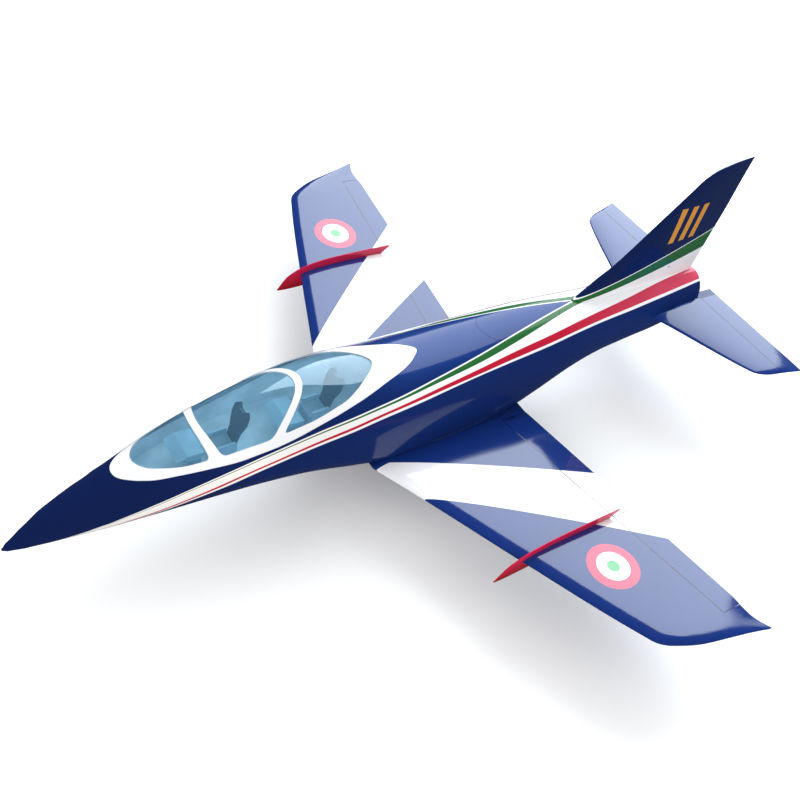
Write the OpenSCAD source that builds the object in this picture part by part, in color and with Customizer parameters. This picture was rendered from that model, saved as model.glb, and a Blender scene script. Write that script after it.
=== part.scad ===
// Two-metre sport jet model: moulded fuselage, two-seat canopy, swept wing
// with fences, retracting gear and a small turbine. Millimetres.
// X forward, Y to the left wing, Z up, belly on Z = 0.

/* [Shell] */
// Moulded skin thickness
skin = 2.4; // [1.5:0.1:4]
// Clear canopy thickness
glass_t = 1.8; // [1:0.1:3]
// Gap around the canopy frame and the rear hatch
lid_gap = 0.6; // [0.3:0.1:2]

/* [Wing] */
// Wing thickness as a share of chord
wing_tc = 0.080; // [0.07:0.005:0.10]
// Rise of each wing panel per unit of span
dihedral = 0.0873; // [0.05:0.001:0.12]
// Height of the chord plane at the centre line
wing_z = 21.6; // [18:0.2:26]
// Joiner tube diameter
tube_d = 16; // [12:1:18]
// Running gap in the control surface coves
cove_gap = 0.55; // [0.45:0.05:1]

/* [Tail] */
// Tailplane thickness as a share of chord
stab_tc = 0.075; // [0.06:0.005:0.09]
// Height of the tailplane
stab_z = 165; // [160:1:175]
// Fin thickness as a share of chord
fin_tc = 0.075; // [0.06:0.005:0.09]

/* [Gear] */
// Main wheel diameter
main_wheel = 84; // [70:1:86]
// Nose wheel diameter
nose_wheel = 74; // [60:1:76]
// Main leg length from pivot to axle
main_leg = 138; // [125:1:145]
// Nose leg length from pivot to axle
nose_leg = 165; // [150:1:175]

/* [Hidden] */
eps = 0.01;
navy = [0.07, 0.13, 0.42];
white = [0.93, 0.93, 0.94];
red = [0.75, 0.08, 0.14];
metal = [0.72, 0.73, 0.75];
dark = [0.12, 0.12, 0.14];
wood = [0.80, 0.68, 0.48];

// ---------- shared formulas ----------
function lerp(a, b, t) = a + (b - a) * t;
function signp(v, p) = sign(v) * pow(abs(v), p);
function unit(v) = v / norm(v);
// smooth curve from b to c with neighbours a and d
function curve4(a, b, c, d, t) =
  b + 0.5 * t * (c - a + t * (2 * a - 5 * b + 4 * c - d + t * (3 * (b - c) + d - a)));
// segment of table T that holds x, x falling down the table
function seg(T, x, i = 0) = (i >= len(T) - 2 || x >= T[i + 1][0]) ? i : seg(T, x, i + 1);
function look(T, x, k) = let (i = seg(T, x), n = len(T),
    t = (T[i][0] - x) / (T[i][0] - T[i + 1][0]))
  curve4(T[max(i - 1, 0)][k], T[i][k], T[i + 1][k], T[min(i + 2, n - 1)][k], t);
// straight-line value of column k, x rising down the table
function segup(T, x, i = 0) = (i >= len(T) - 2 || x <= T[i + 1][0]) ? i : segup(T, x, i + 1);
function line(T, x, k) = let (i = segup(T, x))
  lerp(T[i][k], T[i + 1][k], (x - T[i][0]) / (T[i + 1][0] - T[i][0]));

// solid through a list of rings with equal point counts
module loft(R) {
  n = len(R[0]);
  m = len(R);
  polyhedron([for (r = R) for (p = r) p],
    concat(
      [for (i = [0:m - 2]) for (j = [0:n - 1]) let (a = i * n + j, b = i * n + (j + 1) % n)
        for (f = [[a, b + n, b], [a, a + n, b + n]]) f],
      [[for (j = [0:n - 1]) j]], [[for (j = [n - 1:-1:0]) (m - 1) * n + j]]));
}

// ---------- fuselage form ----------
// station, half width, top, bottom, height share of the widest line, lower roundness
BODY = [
  [1118, 2.5, 33.5, 28.0, 0.45, 2.0],
  [1108, 9, 43, 25.0, 0.44, 2.0],
  [1075, 21, 67, 24.0, 0.43, 2.1],
  [1024, 35, 106, 24.0, 0.42, 2.2],
  [955, 50, 141, 23.0, 0.42, 2.2],
  [894, 62, 168, 23.0, 0.42, 2.2],
  [775, 81, 222, 24.0, 0.42, 2.2],
  [654, 98, 264, 26.0, 0.42, 2.2],
  [530, 113, 292, 27.0, 0.42, 2.3],
  [404, 128, 304, 24.0, 0.41, 2.5],
  [280, 144, 295, 10.0, 0.39, 2.8],
  [154, 154, 277, -3.0, 0.37, 3.2],
  [30, 154, 271, -4.0, 0.37, 3.2],
  [-95, 149, 270, -4.0, 0.38, 3.2],
  [-220, 139, 271, 0.0, 0.39, 3.0],
  [-345, 126, 271, 24.0, 0.41, 2.6],
  [-470, 107, 268, 45.0, 0.42, 2.3],
  [-595, 91, 263, 58.0, 0.42, 2.2],
  [-720, 83, 259, 64.0, 0.42, 2.2],
  [-845, 79, 255, 70.0, 0.42, 2.2],
  [-945, 72, 249, 80.0, 0.42, 2.2],
  [-1025, 64, 242, 92.0, 0.42, 2.2]];
XS = [1118, 1113, 1100, 1075, 1040, 1000, 955, 910, 866, 820, 775, 730, 685, 640, 595, 550, 505,
  460, 404, 342, 280, 217, 154, 92, 30, -33, -95, -158, -220, -283, -345, -408, -470, -533,
  -595, -660, -720, -780, -845, -905, -965, -1025];
SIDES = 32;
function ring(x, d) = let (w = max(look(BODY, x, 1) - d, 0.4),
    t = look(BODY, x, 2), b = look(BODY, x, 3), zm = lerp(b, t, look(BODY, x, 4)),
    zt = max(t - d, zm + 0.4), zb = min(b + d, zm - 0.4), nb = look(BODY, x, 5))
  [for (j = [0:SIDES - 1]) let (a = 360 * j / SIDES, c = cos(a), s = sin(a),
      e = s >= 0 ? 2 / 2.2 : 2 / nb)
    [x, w * signp(c, e),
      s >= 0 ? zm + (zt - zm) * signp(s, e) : max(zm + (zm - zb) * signp(s, e), max(d, 0))]];
// the moulded form drawn in by d, from station x0 forward to x1, ends pushed out by over,
// using every station or every second one
module body(d, x0 = -1025, x1 = 1118, over = 0, step = 1) {
  S = [for (i = [len(XS) - 1:-1:0])
    if (XS[i] >= x0 - eps && XS[i] <= x1 + eps && (i % step == 0 || i == len(XS) - 1)) XS[i]];
  n = len(S);
  loft([for (i = [0:n - 1]) [for (p = ring(S[i], d))
    [p[0] + (i == 0 ? -over : i == n - 1 ? over : 0), p[1], p[2]]]]);
}

// half plans, station and half width: canopy frame, glazed area, rear hatch
LID = [[866, 0.5], [863, 14], [854, 26], [838, 38], [818, 49], [785, 62], [730, 75], [673, 86],
  [610, 96], [554, 102], [490, 107], [426, 108], [350, 104], [282, 94], [236, 83], [194, 70],
  [150, 56], [115, 43], [84, 26], [58, 0.5]];
GLAZED = [[820, 0.5], [817, 14], [806, 30], [784, 46], [727, 67], [659, 80], [626, 85], [582, 90],
  [524, 95.5], [443, 98.5], [389, 97], [322, 87], [285, 73], [252, 54], [222, 33], [204, 14],
  [198, 0.5]];
HATCH = [[-150, 0.5], [-156, 20], [-166, 36], [-185, 50], [-220, 58], [-300, 60], [-360, 56],
  [-400, 44], [-420, 28], [-432, 0.5]];
// half plan drawn in by d, as a flat shape
module plan_flat(T, d) {
  n = len(T);
  xm = (T[0][0] + T[n - 1][0]) / 2;
  k = (T[0][0] - xm - d) / (T[0][0] - xm);
  P = [for (q = T) [xm + (q[0] - xm) * k, max(q[1] - d, 0.3)]];
  for (i = [0:n - 2])
    hull() polygon([P[i], P[i + 1], [P[i + 1][0], -P[i + 1][1]], [P[i][0], -P[i][1]]]);
}
// vertical prism over a half plan drawn in by d, from height z0
module plan(T, d, z0 = 120) {
  translate([0, 0, z0]) linear_extrude(400) plan_flat(T, d);
}
// arch of the canopy frame: stations of its two edges at the crown and 110 mm out
module arch(front, rear, front_foot, rear_foot) {
  polygon(concat(
    [for (i = [-10:10]) let (u = i / 10) [lerp(front, front_foot, u * u), u * 110]],
    [for (i = [10:-1:-10]) let (u = i / 10) [lerp(rear, rear_foot, u * u), u * 110]]));
}
// the three windows, with rounded corners
module panes(round = 12) {
  translate([0, 0, 90])
    linear_extrude(420)
      offset(r = round, $fn = 32)
        offset(delta = -round)
          difference() {
            plan_flat(GLAZED, 0);
            arch(680, 664, 648, 618);
            arch(422, 404, 545, 513);
          }
}

// ---------- flying surfaces ----------
FN = 14;
function half_t(u) = 5 * (0.2969 * sqrt(u) - 0.126 * u - 0.3516 * u * u
  + 0.2843 * u * u * u - 0.1036 * u * u * u * u);
FOIL = concat(
  [for (i = [0:FN]) let (u = (1 + cos(180 * i / FN)) / 2) [u, half_t(u), 1]],
  [for (i = [FN - 1:-1:0]) let (u = (1 + cos(180 * i / FN)) / 2) [u, half_t(u), -1]]);
// half thickness of a surface with plan table T at span y, station x
function skin_h(T, tc, y, x) = let (a = line(T, y, 1), b = line(T, y, 2), u = (a - x) / (a - b))
  tc * (a - b) * half_t(u) + 0.4 * u;
function rib(T, tc, y, z) = let (a = line(T, y, 1), c = a - line(T, y, 2))
  [for (p = FOIL) [a - p[0] * c, y, z + p[2] * (tc * c * p[1] + 0.4 * p[0])]];
module surface_of(T, tc, z0, rise) {
  loft([for (r = T) rib(T, tc, r[0], z0 + rise * r[0])]);
}

// span, nose, tail of each plan
WING = [[146, 233.5, -281.5], [300, 170.5, -293.5], [560, 69.5, -314], [862, -54.5, -337.5],
  [893, -70, -340], [910, -88, -339], [925, -114, -338], [948, -165, -338.5], [968, -238, -343],
  [984, -299, -350], [1000, -350, -358]];
STAB = [[70, -805, -1107.5], [118, -826.5, -1107], [366, -932, -1106], [386, -943, -1106],
  [402, -963, -1106], [414, -990, -1105.8], [424, -1030, -1105.5], [436, -1075, -1105],
  [443, -1098, -1104.5]];
FIN = [[225, -440, -1007], [262, -480, -1010], [290, -520, -1011.5], [325, -563, -1014],
  [353, -604, -1016], [393, -647, -1019.5], [484, -733, -1027.6], [573, -818, -1031],
  [600, -843, -1033], [614, -861.5, -1034], [629, -893, -1035.3], [642, -956, -1036.5],
  [647, -997, -1037.2], [649.5, -1030, -1038]];

// hinge lines: station at a span
function wing_hx(y) = -191.5 - 0.11523 * (y - 154);
function fin_hx(z) = -938 - 0.14 * (z - 262);
stab_hx = -1032.5;
function wing_at(y) = [wing_hx(y), y, wing_z + dihedral * y];
wing_ax = unit([-0.11523, 1, dihedral]);
// frame on a hinge line: x forward, y along the line, z up
module on_line(o, ey) {
  ex = unit([1, 0, 0] - ey * ey[0]);
  ez = cross(ex, ey);
  multmatrix([[ex[0], ey[0], ez[0], o[0]], [ex[1], ey[1], ez[1], o[1]],
    [ex[2], ey[2], ez[2], o[2]], [0, 0, 0, 1]])
    children();
}
// round nose between two points with end radii
module nose(p, q, r1, r2) {
  on_line(p, unit(q - p)) rotate([-90, 0, 0]) cylinder(h = norm(q - p), r1 = r1, r2 = r2, $fn = 64);
}
module wing_nose(y0, y1, g) {
  nose(wing_at(y0), wing_at(y1), skin_h(WING, wing_tc, y0, wing_hx(y0)) - 0.15 + g,
    skin_h(WING, wing_tc, y1, wing_hx(y1)) - 0.15 + g);
}
// slab behind the wing hinge line between two spans, ends square to the panel
module wing_aft(y0, y1) {
  k = sqrt(1 + dihedral * dihedral);
  translate([0, 0, wing_z]) rotate([atan(dihedral), 0, 0]) translate([0, 0, -60])
    linear_extrude(120) polygon([[wing_hx(y0), y0 * k], [wing_hx(y1), y1 * k], [-420, y1 * k],
      [-420, y0 * k]]);
}
module wing_form() {
  surface_of(WING, wing_tc, wing_z, dihedral);
}
module stab_nose(g) {
  for (s = [[72.6 - (g > 0.2 ? 1.2 : 0), 366], [366, 402], [402, 418]])
    nose([stab_hx, s[0], stab_z], [stab_hx, s[1], stab_z],
      skin_h(STAB, stab_tc, max(s[0], 70), stab_hx) - 0.15 + g,
      skin_h(STAB, stab_tc, s[1], stab_hx) - 0.15 + g);
}
module stab_form() {
  surface_of(STAB, stab_tc, stab_z, 0);
}
module fin_form() {
  rotate([90, 0, 0]) surface_of(FIN, fin_tc, 0, 0);
}
function fin_at(z) = [fin_hx(z), 0, z];
module fin_nose(z0, z1, g) {
  p = fin_at(z0);
  q = fin_at(z1);
  translate(p) rotate([0, -atan2(0.14, 1), 0])
    cylinder(h = norm(q - p), r1 = skin_h(FIN, fin_tc, z0, fin_hx(z0)) - 0.15 + g,
      r2 = skin_h(FIN, fin_tc, z1, fin_hx(z1)) - 0.15 + g, $fn = 64);
}
module fin_aft(z0, z1) {
  rotate([90, 0, 0]) translate([0, 0, -40]) linear_extrude(80)
    polygon([[fin_hx(z0), z0], [fin_hx(z1), z1], [-1100, z1], [-1100, z0]]);
}

// ---------- fuselage ----------
module rounded(x0, x1, y0, y1, z0, z1, r) {
  hull()
    for (x = [x0 + r, x1 - r], y = [y0 + r, y1 - r])
      translate([x, y, z0]) cylinder(h = z1 - z0, r = r, $fn = 24);
}
module wing_stub() {
  R = rib(WING, wing_tc, 146, wing_z + dihedral * 146);
  loft([[for (p = R) [p[0], -146, p[2]]], R]);
}
module stab_stub(s) {
  R = rib(STAB, stab_tc, 70, stab_z);
  mirror([0, s < 0 ? 1 : 0, 0]) loft([[for (p = R) [p[0], 44, p[2]]], R]);
}
// strip under the edge of an opening, let into the skin outside the edge
module landing(T, inner, x0, x1) {
  difference() {
    union() {
      intersection() {
        body(skin + 0.02, x0, x1);
        plan(T, -5, 150);
      }
      difference() {
        intersection() {
          body(skin - 0.6, x0, x1);
          plan(T, -5.6, 150);
        }
        plan(T, -lid_gap - 0.2, 100);
      }
    }
    body(skin + 1.8, x0 - 70, x1 + 70, step = 2);
    plan(T, inner, 100);
  }
}
module fuselage_shell() color(navy)
  union() {
    difference() {
      union() {
        body(0);
        wing_stub();
        stab_stub(1);
        stab_stub(-1);
      }
      body(skin, over = -skin, step = 2);
      translate([-1040, 0, 163]) rotate([0, 90, 0]) cylinder(h = 60, r = 41, $fn = 48);
      plan(LID, -lid_gap, 150);
      plan(HATCH, -lid_gap, 150);
      rounded(620, 843, -17, 17, -10, 60, 8);
      // air inlets under the wing roots and cooling slots under the tail
      for (s = [-1, 1]) {
        rounded(150, 205, s * 92 - 22, s * 92 + 22, -10, 40, 10);
        for (x = [-640, -610, -580]) rounded(x, x + 12, s * 22 - 12, s * 22 + 12, 30, 90, 5);
      }
      // joiner, bolt and pin holes
      for (s = [-1, 1]) {
        translate([80, s * 170, 43]) rotate([90, 0, 0]) cylinder(h = 340, r = tube_d / 2 + 0.6, $fn = 32);
        for (x = [160, -180]) translate([x, s * 100, 34]) rotate([-s * 90, 0, 0])
          cylinder(h = 80, r = 3.4, $fn = 24);
        for (x = [-865, -960]) translate([x, s * 40, stab_z]) rotate([-s * 90, 0, 0])
          cylinder(h = 60, r = 4.3, $fn = 24);
      }
    }
    // landings that carry the canopy frame and the hatch
    landing(LID, 3, 30, 910);
    landing(HATCH, 5, -470, -95);
  }
module rear_hatch() color(navy)
  difference() {
    intersection() {
      body(0, -470, -95);
      plan(HATCH, 0, 150);
    }
    body(skin, -470, -95, over = 5);
  }
module canopy_frame() color(white)
  difference() {
    intersection() {
      body(0, 30, 910);
      plan(LID, 0, 150);
    }
    body(skin, 30, 910, over = 5);
    panes();
  }
module canopy_glass() color([0.45, 0.68, 0.82])
  difference() {
    intersection() {
      body(skin + 0.02, 30, 910);
      plan(LID, 4, 150);
    }
    body(skin + 0.02 + glass_t, 30, 910, over = 5);
  }
module cockpit_tub() color([0.55, 0.66, 0.74])
  difference() {
    intersection() {
      body(skin + 2.6, 30, 910);
      plan(LID, 3, 128);
    }
    plan(LID, 4.6, 130);
  }
// seat with its pan at height z: cushion on a plinth, tapered back with a notched top, arm rests
module seat(x, z) {
  translate([x, 0, 130]) {
    translate([-30, -24, 0]) cube([60, 48, z + 14]);
    translate([-30, 0, z]) rotate([0, -14, 0]) rotate([90, 0, 90]) linear_extrude(11)
      polygon([[-18, 0], [18, 0], [20, 40], [31, 78], [29, 104], [20, 114], [9, 104], [-9, 104],
        [-20, 114], [-29, 104], [-31, 78], [-20, 40]]);
    for (s = [-1, 1]) translate([-24, s * 26 - 3, 0]) cube([46, 6, z + 26]);
  }
}
module seat_front() color(dark) seat(598, 14);
module seat_rear() color(dark) seat(345, 30);
module panel(x, w) {
  translate([x, w, 130]) rotate([90, 0, 0]) linear_extrude(2 * w)
    polygon([[0, 0], [14, 0], [16, 44], [60, 52], [34, 64], [-6, 62], [-12, 54], [-2, 50]]);
  for (k = [-1, 0, 1]) translate([x - 3, k * 20, 162]) rotate([0, 90, 0]) cylinder(h = 6, r = 8, $fn = 32);
}
module panel_front() color(dark) panel(668, 40);
module panel_rear() color(dark) panel(408, 46);

module fin() color(navy)
  difference() {
    fin_form();
    body(-0.05, -1025, -345, over = 4);
    fin_aft(263, 599);
    fin_nose(262.4, 599.6, cove_gap);
  }
module rudder() color(navy)
  union() {
    intersection() {
      fin_form();
      fin_aft(264, 598);
    }
    fin_nose(264, 598, 0);
  }

// ---------- wing ----------
gear_x = -15;
gear_y = 360;
module on_gear() {
  translate([gear_x, gear_y, wing_z + dihedral * gear_y]) rotate([atan(dihedral), 0, 0]) children();
}
module on_nose() {
  translate([830, 0, 75]) rotate([0, 0, -90]) children();
}
servo_y = 740;
module on_servo() {
  on_line(wing_at(servo_y), wing_ax) translate([80, 0, 0]) children();
}
arm_l = 22;
module wing() {
  difference() {
    wing_form();
    body(-0.05, -345, 280, over = 10);
    wing_aft(153, 915.2);
    wing_nose(153, 915.2, cove_gap);
    // relief so the flap can swing down
    on_line(wing_at(153), wing_ax) translate([-1, 0, -22]) cube([6, 421, 20]);
    // joiner tube, bolts, gear bay, servo bay
    translate([80, 140, 43]) rotate([-90, 0, 0]) cylinder(h = 152, d = tube_d + 0.1, $fn = 64);
    for (x = [160, -180]) translate([x, 140, 34]) rotate([-90, 0, 0]) cylinder(h = 34, r = 3.05, $fn = 48);
    on_gear() {
      translate([0, -main_leg, -40]) cylinder(h = 50.4, r = main_wheel / 2 + 3, $fn = 96);
      translate([-10, -main_leg - 10, -40]) cube([20, 110, 54]);
      translate([-12, -main_leg, -40]) cube([24, main_leg + 10, 48]);
      translate([-21, -17, -40]) cube([42, 40, 52]);
    }
    on_servo() {
      translate([-17, -23, -30]) cube([32, 30, 37]);
      translate([-9, 6, -30]) cube([18, 8, 37]);
    }
    // slot for the aileron horn
    on_line(wing_at(servo_y), wing_ax) translate([-2, 4.5, -30]) cube([11, 8.5, 30]);
  }
}
module wing_left() color(navy) wing();
module wing_right() color(navy) mirror([0, 1, 0]) wing();
module aileron() {
  intersection() {
    wing_form();
    wing_aft(568.4, 914);
  }
  wing_nose(568.4, 914, 0);
  // control horn
  on_line(wing_at(servo_y), wing_ax) {
    translate([0, 6, 0]) rotate([-90, 0, 0]) linear_extrude(2.5)
      polygon([[3, 0], [-16, 0], [-13, 8], [-2, arm_l + 3], [3.5, arm_l + 1]]);
    translate([0, 8.4, -arm_l]) rotate([-90, 0, 0]) cylinder(h = 3.6, r = 1, $fn = 32);
  }
}
module aileron_left() color(navy) aileron();
module aileron_right() color(navy) mirror([0, 1, 0]) aileron();
module flap() {
  intersection() {
    wing_form();
    wing_aft(154.2, 566);
  }
  wing_nose(154.2, 566, 0);
}
module flap_left() color(navy) flap();
module flap_right() color(navy) mirror([0, 1, 0]) flap();
module fence() {
  difference() {
    translate([0, 567.2, 0]) rotate([90, 0, 0]) linear_extrude(2.4)
      polygon([[143, 31], [140, 40], [133, 51], [117, 72], [95, 87], [71, 97], [39, 105],
        [-9, 110.5], [-59, 111.5], [-110, 111], [-162, 109.5], [-205, 107], [-250, 104],
        [-227, 82], [-214, 68], [-130, 50], [-60, 38], [0, 30], [59, 27], [108, 27]]);
    wing_form();
  }
}
module fence_left() color(red) fence();
module fence_right() color(red) mirror([0, 1, 0]) fence();
module wing_tube() color(metal)
  translate([80, 290, 43]) rotate([90, 0, 0])
    difference() {
      cylinder(h = 580, d = tube_d, $fn = 64);
      translate([0, 0, -1]) cylinder(h = 582, d = tube_d - 3, $fn = 64);
    }
module wing_bolts() color(metal)
  for (s = [0, 1], p = [[160, 118], [-180, 104]])
    mirror([0, s, 0]) translate([p[0], p[1], 34]) rotate([-90, 0, 0]) {
      difference() {
        cylinder(h = 11, r = 6, $fn = 48);
        translate([0, 0, -1]) cylinder(h = 6, r = 3, $fn = 6);
      }
      cylinder(h = 172 - p[1], r = 3, $fn = 48);
    }

// ---------- tail ----------
module stab() {
  difference() {
    stab_form();
    body(-0.05, -1025, -720, over = 4);
    translate([-1200, 71.4, stab_z - 30]) cube([1200 + stab_hx, 400, 60]);
    stab_nose(cove_gap);
    translate([-1200, 417, stab_z - 30]) cube([1200 + stab_hx + 2.8, 60, 60]);
    for (x = [-865, -960]) translate([x, 60, stab_z]) rotate([-90, 0, 0]) cylinder(h = 52, r = 4.05, $fn = 48);
  }
}
module stab_left() color(navy) stab();
module stab_right() color(navy) mirror([0, 1, 0]) stab();
module elevator() {
  intersection() {
    stab_form();
    translate([-1200, 72.6, stab_z - 30]) cube([1200 + stab_hx, 400, 60]);
  }
  stab_nose(0);
}
module elevator_left() color(navy) elevator();
module elevator_right() color(navy) mirror([0, 1, 0]) elevator();
module stab_pins() color(metal)
  for (s = [0, 1], x = [-865, -960])
    mirror([0, s, 0]) translate([x, 48, stab_z]) rotate([-90, 0, 0]) cylinder(h = 62, r = 4, $fn = 48);

// ---------- structure inside ----------
module former_slab(x0, x1, s0, s1) {
  intersection() {
    body(skin - 0.05, s0, s1);
    translate([x0, -200, -5]) cube([x1 - x0, 400, 320]);
  }
}
module nose_former() color(wood)
  difference() {
    former_slab(853, 857, 820, 910);
    translate([840, -22, 96]) cube([40, 44, 40]);
    translate([840, -80, 126]) cube([40, 160, 200]);
  }
module main_former() color(wood)
  difference() {
    union() {
      difference() {
        former_slab(76, 84, 30, 154);
        translate([60, -104, 126]) cube([40, 208, 200]);
      }
      intersection() {
        former_slab(66, 94, 30, 154);
        translate([60, -110, 0]) cube([40, 220, 58]);
      }
    }
    translate([80, -170, 43]) rotate([-90, 0, 0]) cylinder(h = 340, d = tube_d + 0.1, $fn = 64);
    translate([60, -70, 66]) cube([40, 50, 48]);
    translate([60, 24, 66]) cube([40, 50, 48]);
  }
module rear_former() color(wood)
  difference() {
    former_slab(-296, -290, -345, -220);
    translate([-300, 0, 163]) rotate([0, 90, 0]) cylinder(h = 20, r = 48, $fn = 96);
    translate([-300, -72, 246]) cube([20, 144, 60]);
  }
module tail_former() color(wood)
  difference() {
    former_slab(-1012, -1008, -1025, -965);
    translate([-1020, 0, 163]) rotate([0, 90, 0]) cylinder(h = 20, r = 38, $fn = 96);
  }

// ---------- turbine ----------
// solid of revolution about the jet axis, profile [station, radius]
module spin(P) {
  translate([0, 0, 163]) rotate([0, 90, 0]) rotate_extrude($fn = 96)
    polygon([for (p = P) [p[1], p[0]]]);
}
module turbine_case() color(metal)
  difference() {
    union() {
      spin([[-322, 30], [-318, 36], [-322, 44], [-340, 51], [-500, 51], [-520, 45], [-520, 43],
        [-499, 49], [-342, 49], [-324, 42]]);
      spin([[-352, 5.05], [-352, 50], [-356, 50], [-356, 10], [-486, 10], [-486, 50], [-490, 50],
        [-490, 5.05]]);
      for (s = [-1, 1], x = [-380, -450]) translate([x, s * 58 - 8.5, 158]) cube([16, 17, 5]);
    }
    for (a = [15:30:345]) translate([-360, 0, 163]) rotate([a, 0, 0]) translate([0, 0, 40])
      rotate([0, 90, 0]) cylinder(h = 20, r = 5, $fn = 24);
    for (a = [0:30:330]) translate([-495, 0, 163]) rotate([a, 0, 0]) translate([0, 0, 38])
      rotate([0, 90, 0]) cylinder(h = 20, r = 6, $fn = 24);
  }
module turbine_rotor() color([0.6, 0.58, 0.55])
  union() {
    spin([[-326, 0], [-326, 5], [-332, 12], [-346, 26], [-350, 40], [-351, 40], [-351, 5],
      [-491, 5], [-491, 34], [-499, 34], [-499, 4], [-505, 0]]);
    for (a = [0:30:330]) translate([0, 0, 163]) rotate([a, 0, 0]) {
      translate([-346, -0.8, 8]) cube([16, 1.6, 20]);
      translate([-498, -1, 30]) cube([6, 2, 12]);
    }
  }
module turbine_rails() color(wood)
  for (s = [-1, 1]) translate([-570, s * 61 - 6, 144]) cube([274, 12, 14]);
module thrust_tube() color([0.75, 0.74, 0.72])
  spin([[-535, 50], [-545, 46], [-575, 38], [-1022, 38], [-1022, 37], [-575, 37], [-546, 45],
    [-535, 49]]);

// ---------- equipment ----------
module fuel_tank() color([0.9, 0.9, 0.86])
  union() {
    translate([94, -60, 38]) cube([250, 120, 84]);
    translate([344, 20, 100]) rotate([0, 90, 0]) cylinder(h = 8, r = 8, $fn = 48);
  }
module battery() color([0.15, 0.2, 0.5])
  union() {
    translate([857, -20, 36]) cube([92, 40, 32]);
    translate([949, -10, 44]) cube([6, 20, 10]);
  }
module receiver() color(dark)
  translate([48, -18, 116]) cube([28, 36, 12]);

// ---------- undercarriage, leg along -Y, pivot along X ----------
module retract_box() {
  difference() {
    translate([-20.5, -17, -12]) cube([41, 40, 24]);
    translate([-9, -18, -13]) cube([18, 30, 26]);
    translate([-21, 0, 0]) rotate([0, 90, 0]) cylinder(h = 42, r = 3.05, $fn = 48);
  }
}
module leg(l, wr, wt, turn = 0) {
  k = l - wr - 4;
  translate([-20, 0, 0]) rotate([0, 90, 0]) cylinder(h = 40, r = 3, $fn = 48);
  translate([-8.5, 0, 0]) rotate([0, 90, 0]) cylinder(h = 17, r = 7.5, $fn = 48);
  rotate([90, 0, 0]) cylinder(h = k, r = 5.5, $fn = 48);
  translate([0, -20, 0]) rotate([90, 0, 0]) cylinder(h = 26, r = 7.4, $fn = 48);
  rotate([0, turn, 0]) {
    translate([-6, -k - 3, -wt / 2 - 4]) cube([12, 7, wt + 8]);
    for (s = [-1, 1]) translate([-5, -l - 5, s * (wt / 2 + 2.5) - 1.5]) cube([10, wr + 8, 3]);
    translate([0, -l, -wt / 2 - 4]) cylinder(h = wt + 8, r = 2.5, $fn = 48);
  }
}
module hub(l, wr, wt) {
  translate([0, -l, -wt / 2 - 0.6])
    difference() {
      union() {
        cylinder(h = wt + 1.2, r = 7, $fn = 48);
        translate([0, 0, 2.6]) cylinder(h = wt - 4, r = wr * 0.62, $fn = 96);
      }
      translate([0, 0, -1]) cylinder(h = wt + 4, r = 2.55, $fn = 48);
      for (a = [0:72:288]) rotate([0, 0, a]) translate([wr * 0.4, 0, -1]) cylinder(h = wt + 4, r = wr * 0.12, $fn = 32);
    }
}
module tyre(l, wr, wt) {
  translate([0, -l, 0]) rotate_extrude($fn = 128)
    polygon([[wr * 0.62, -wt / 2 + 2], [wr * 0.70, -wt / 2], [wr * 0.86, -wt / 2 + 0.4],
      [wr * 0.96, -wt / 2 + 2.6], [wr, -wt / 4], [wr, wt / 4], [wr * 0.96, wt / 2 - 2.6],
      [wr * 0.86, wt / 2 - 0.4], [wr * 0.70, wt / 2], [wr * 0.62, wt / 2 - 2]]);
}
module leg_door(s0, s1, w, z) {
  difference() {
    union() {
      translate([-w, -s1, z]) cube([2 * w, s1 - s0, 2]);
      translate([-3, -s1 + 14, z + 1]) cube([6, 10, -z - 1]);
    }
    translate([0, 1, 0]) rotate([90, 0, 0]) cylinder(h = s1 + 20, r = 5.5, $fn = 48);
    translate([-10, -s1, 0]) cube([20, s1, 10]);
  }
}
mw = main_wheel / 2;
nw = nose_wheel / 2;
module nose_retract() color(metal) on_nose() retract_box();
module nose_strut() color(metal) on_nose() leg(nose_leg, nw, 18, 90);
module nose_hub() color(metal) on_nose() rotate([0, 90, 0]) hub(nose_leg, nw, 18);
module nose_tyre() color(dark) on_nose() rotate([0, 90, 0]) tyre(nose_leg, nw, 18);
module nose_door() color(navy) on_nose() leg_door(56, 118, 16, -50.4);
module main_retract_left() color(metal) on_gear() retract_box();
module main_retract_right() color(metal) mirror([0, 1, 0]) on_gear() retract_box();
module main_strut_left() color(metal) on_gear() leg(main_leg, mw, 18);
module main_strut_right() color(metal) mirror([0, 1, 0]) on_gear() leg(main_leg, mw, 18);
module main_hub_left() color(metal) on_gear() hub(main_leg, mw, 18);
module main_hub_right() color(metal) mirror([0, 1, 0]) on_gear() hub(main_leg, mw, 18);
module main_tyre_left() color(dark) on_gear() tyre(main_leg, mw, 18);
module main_tyre_right() color(dark) mirror([0, 1, 0]) on_gear() tyre(main_leg, mw, 18);
module main_door_left() color(navy) on_gear() leg_door(22, 88, 11, -17.5);
module main_door_right() color(navy) mirror([0, 1, 0]) on_gear() leg_door(22, 88, 11, -17.5);

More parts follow.
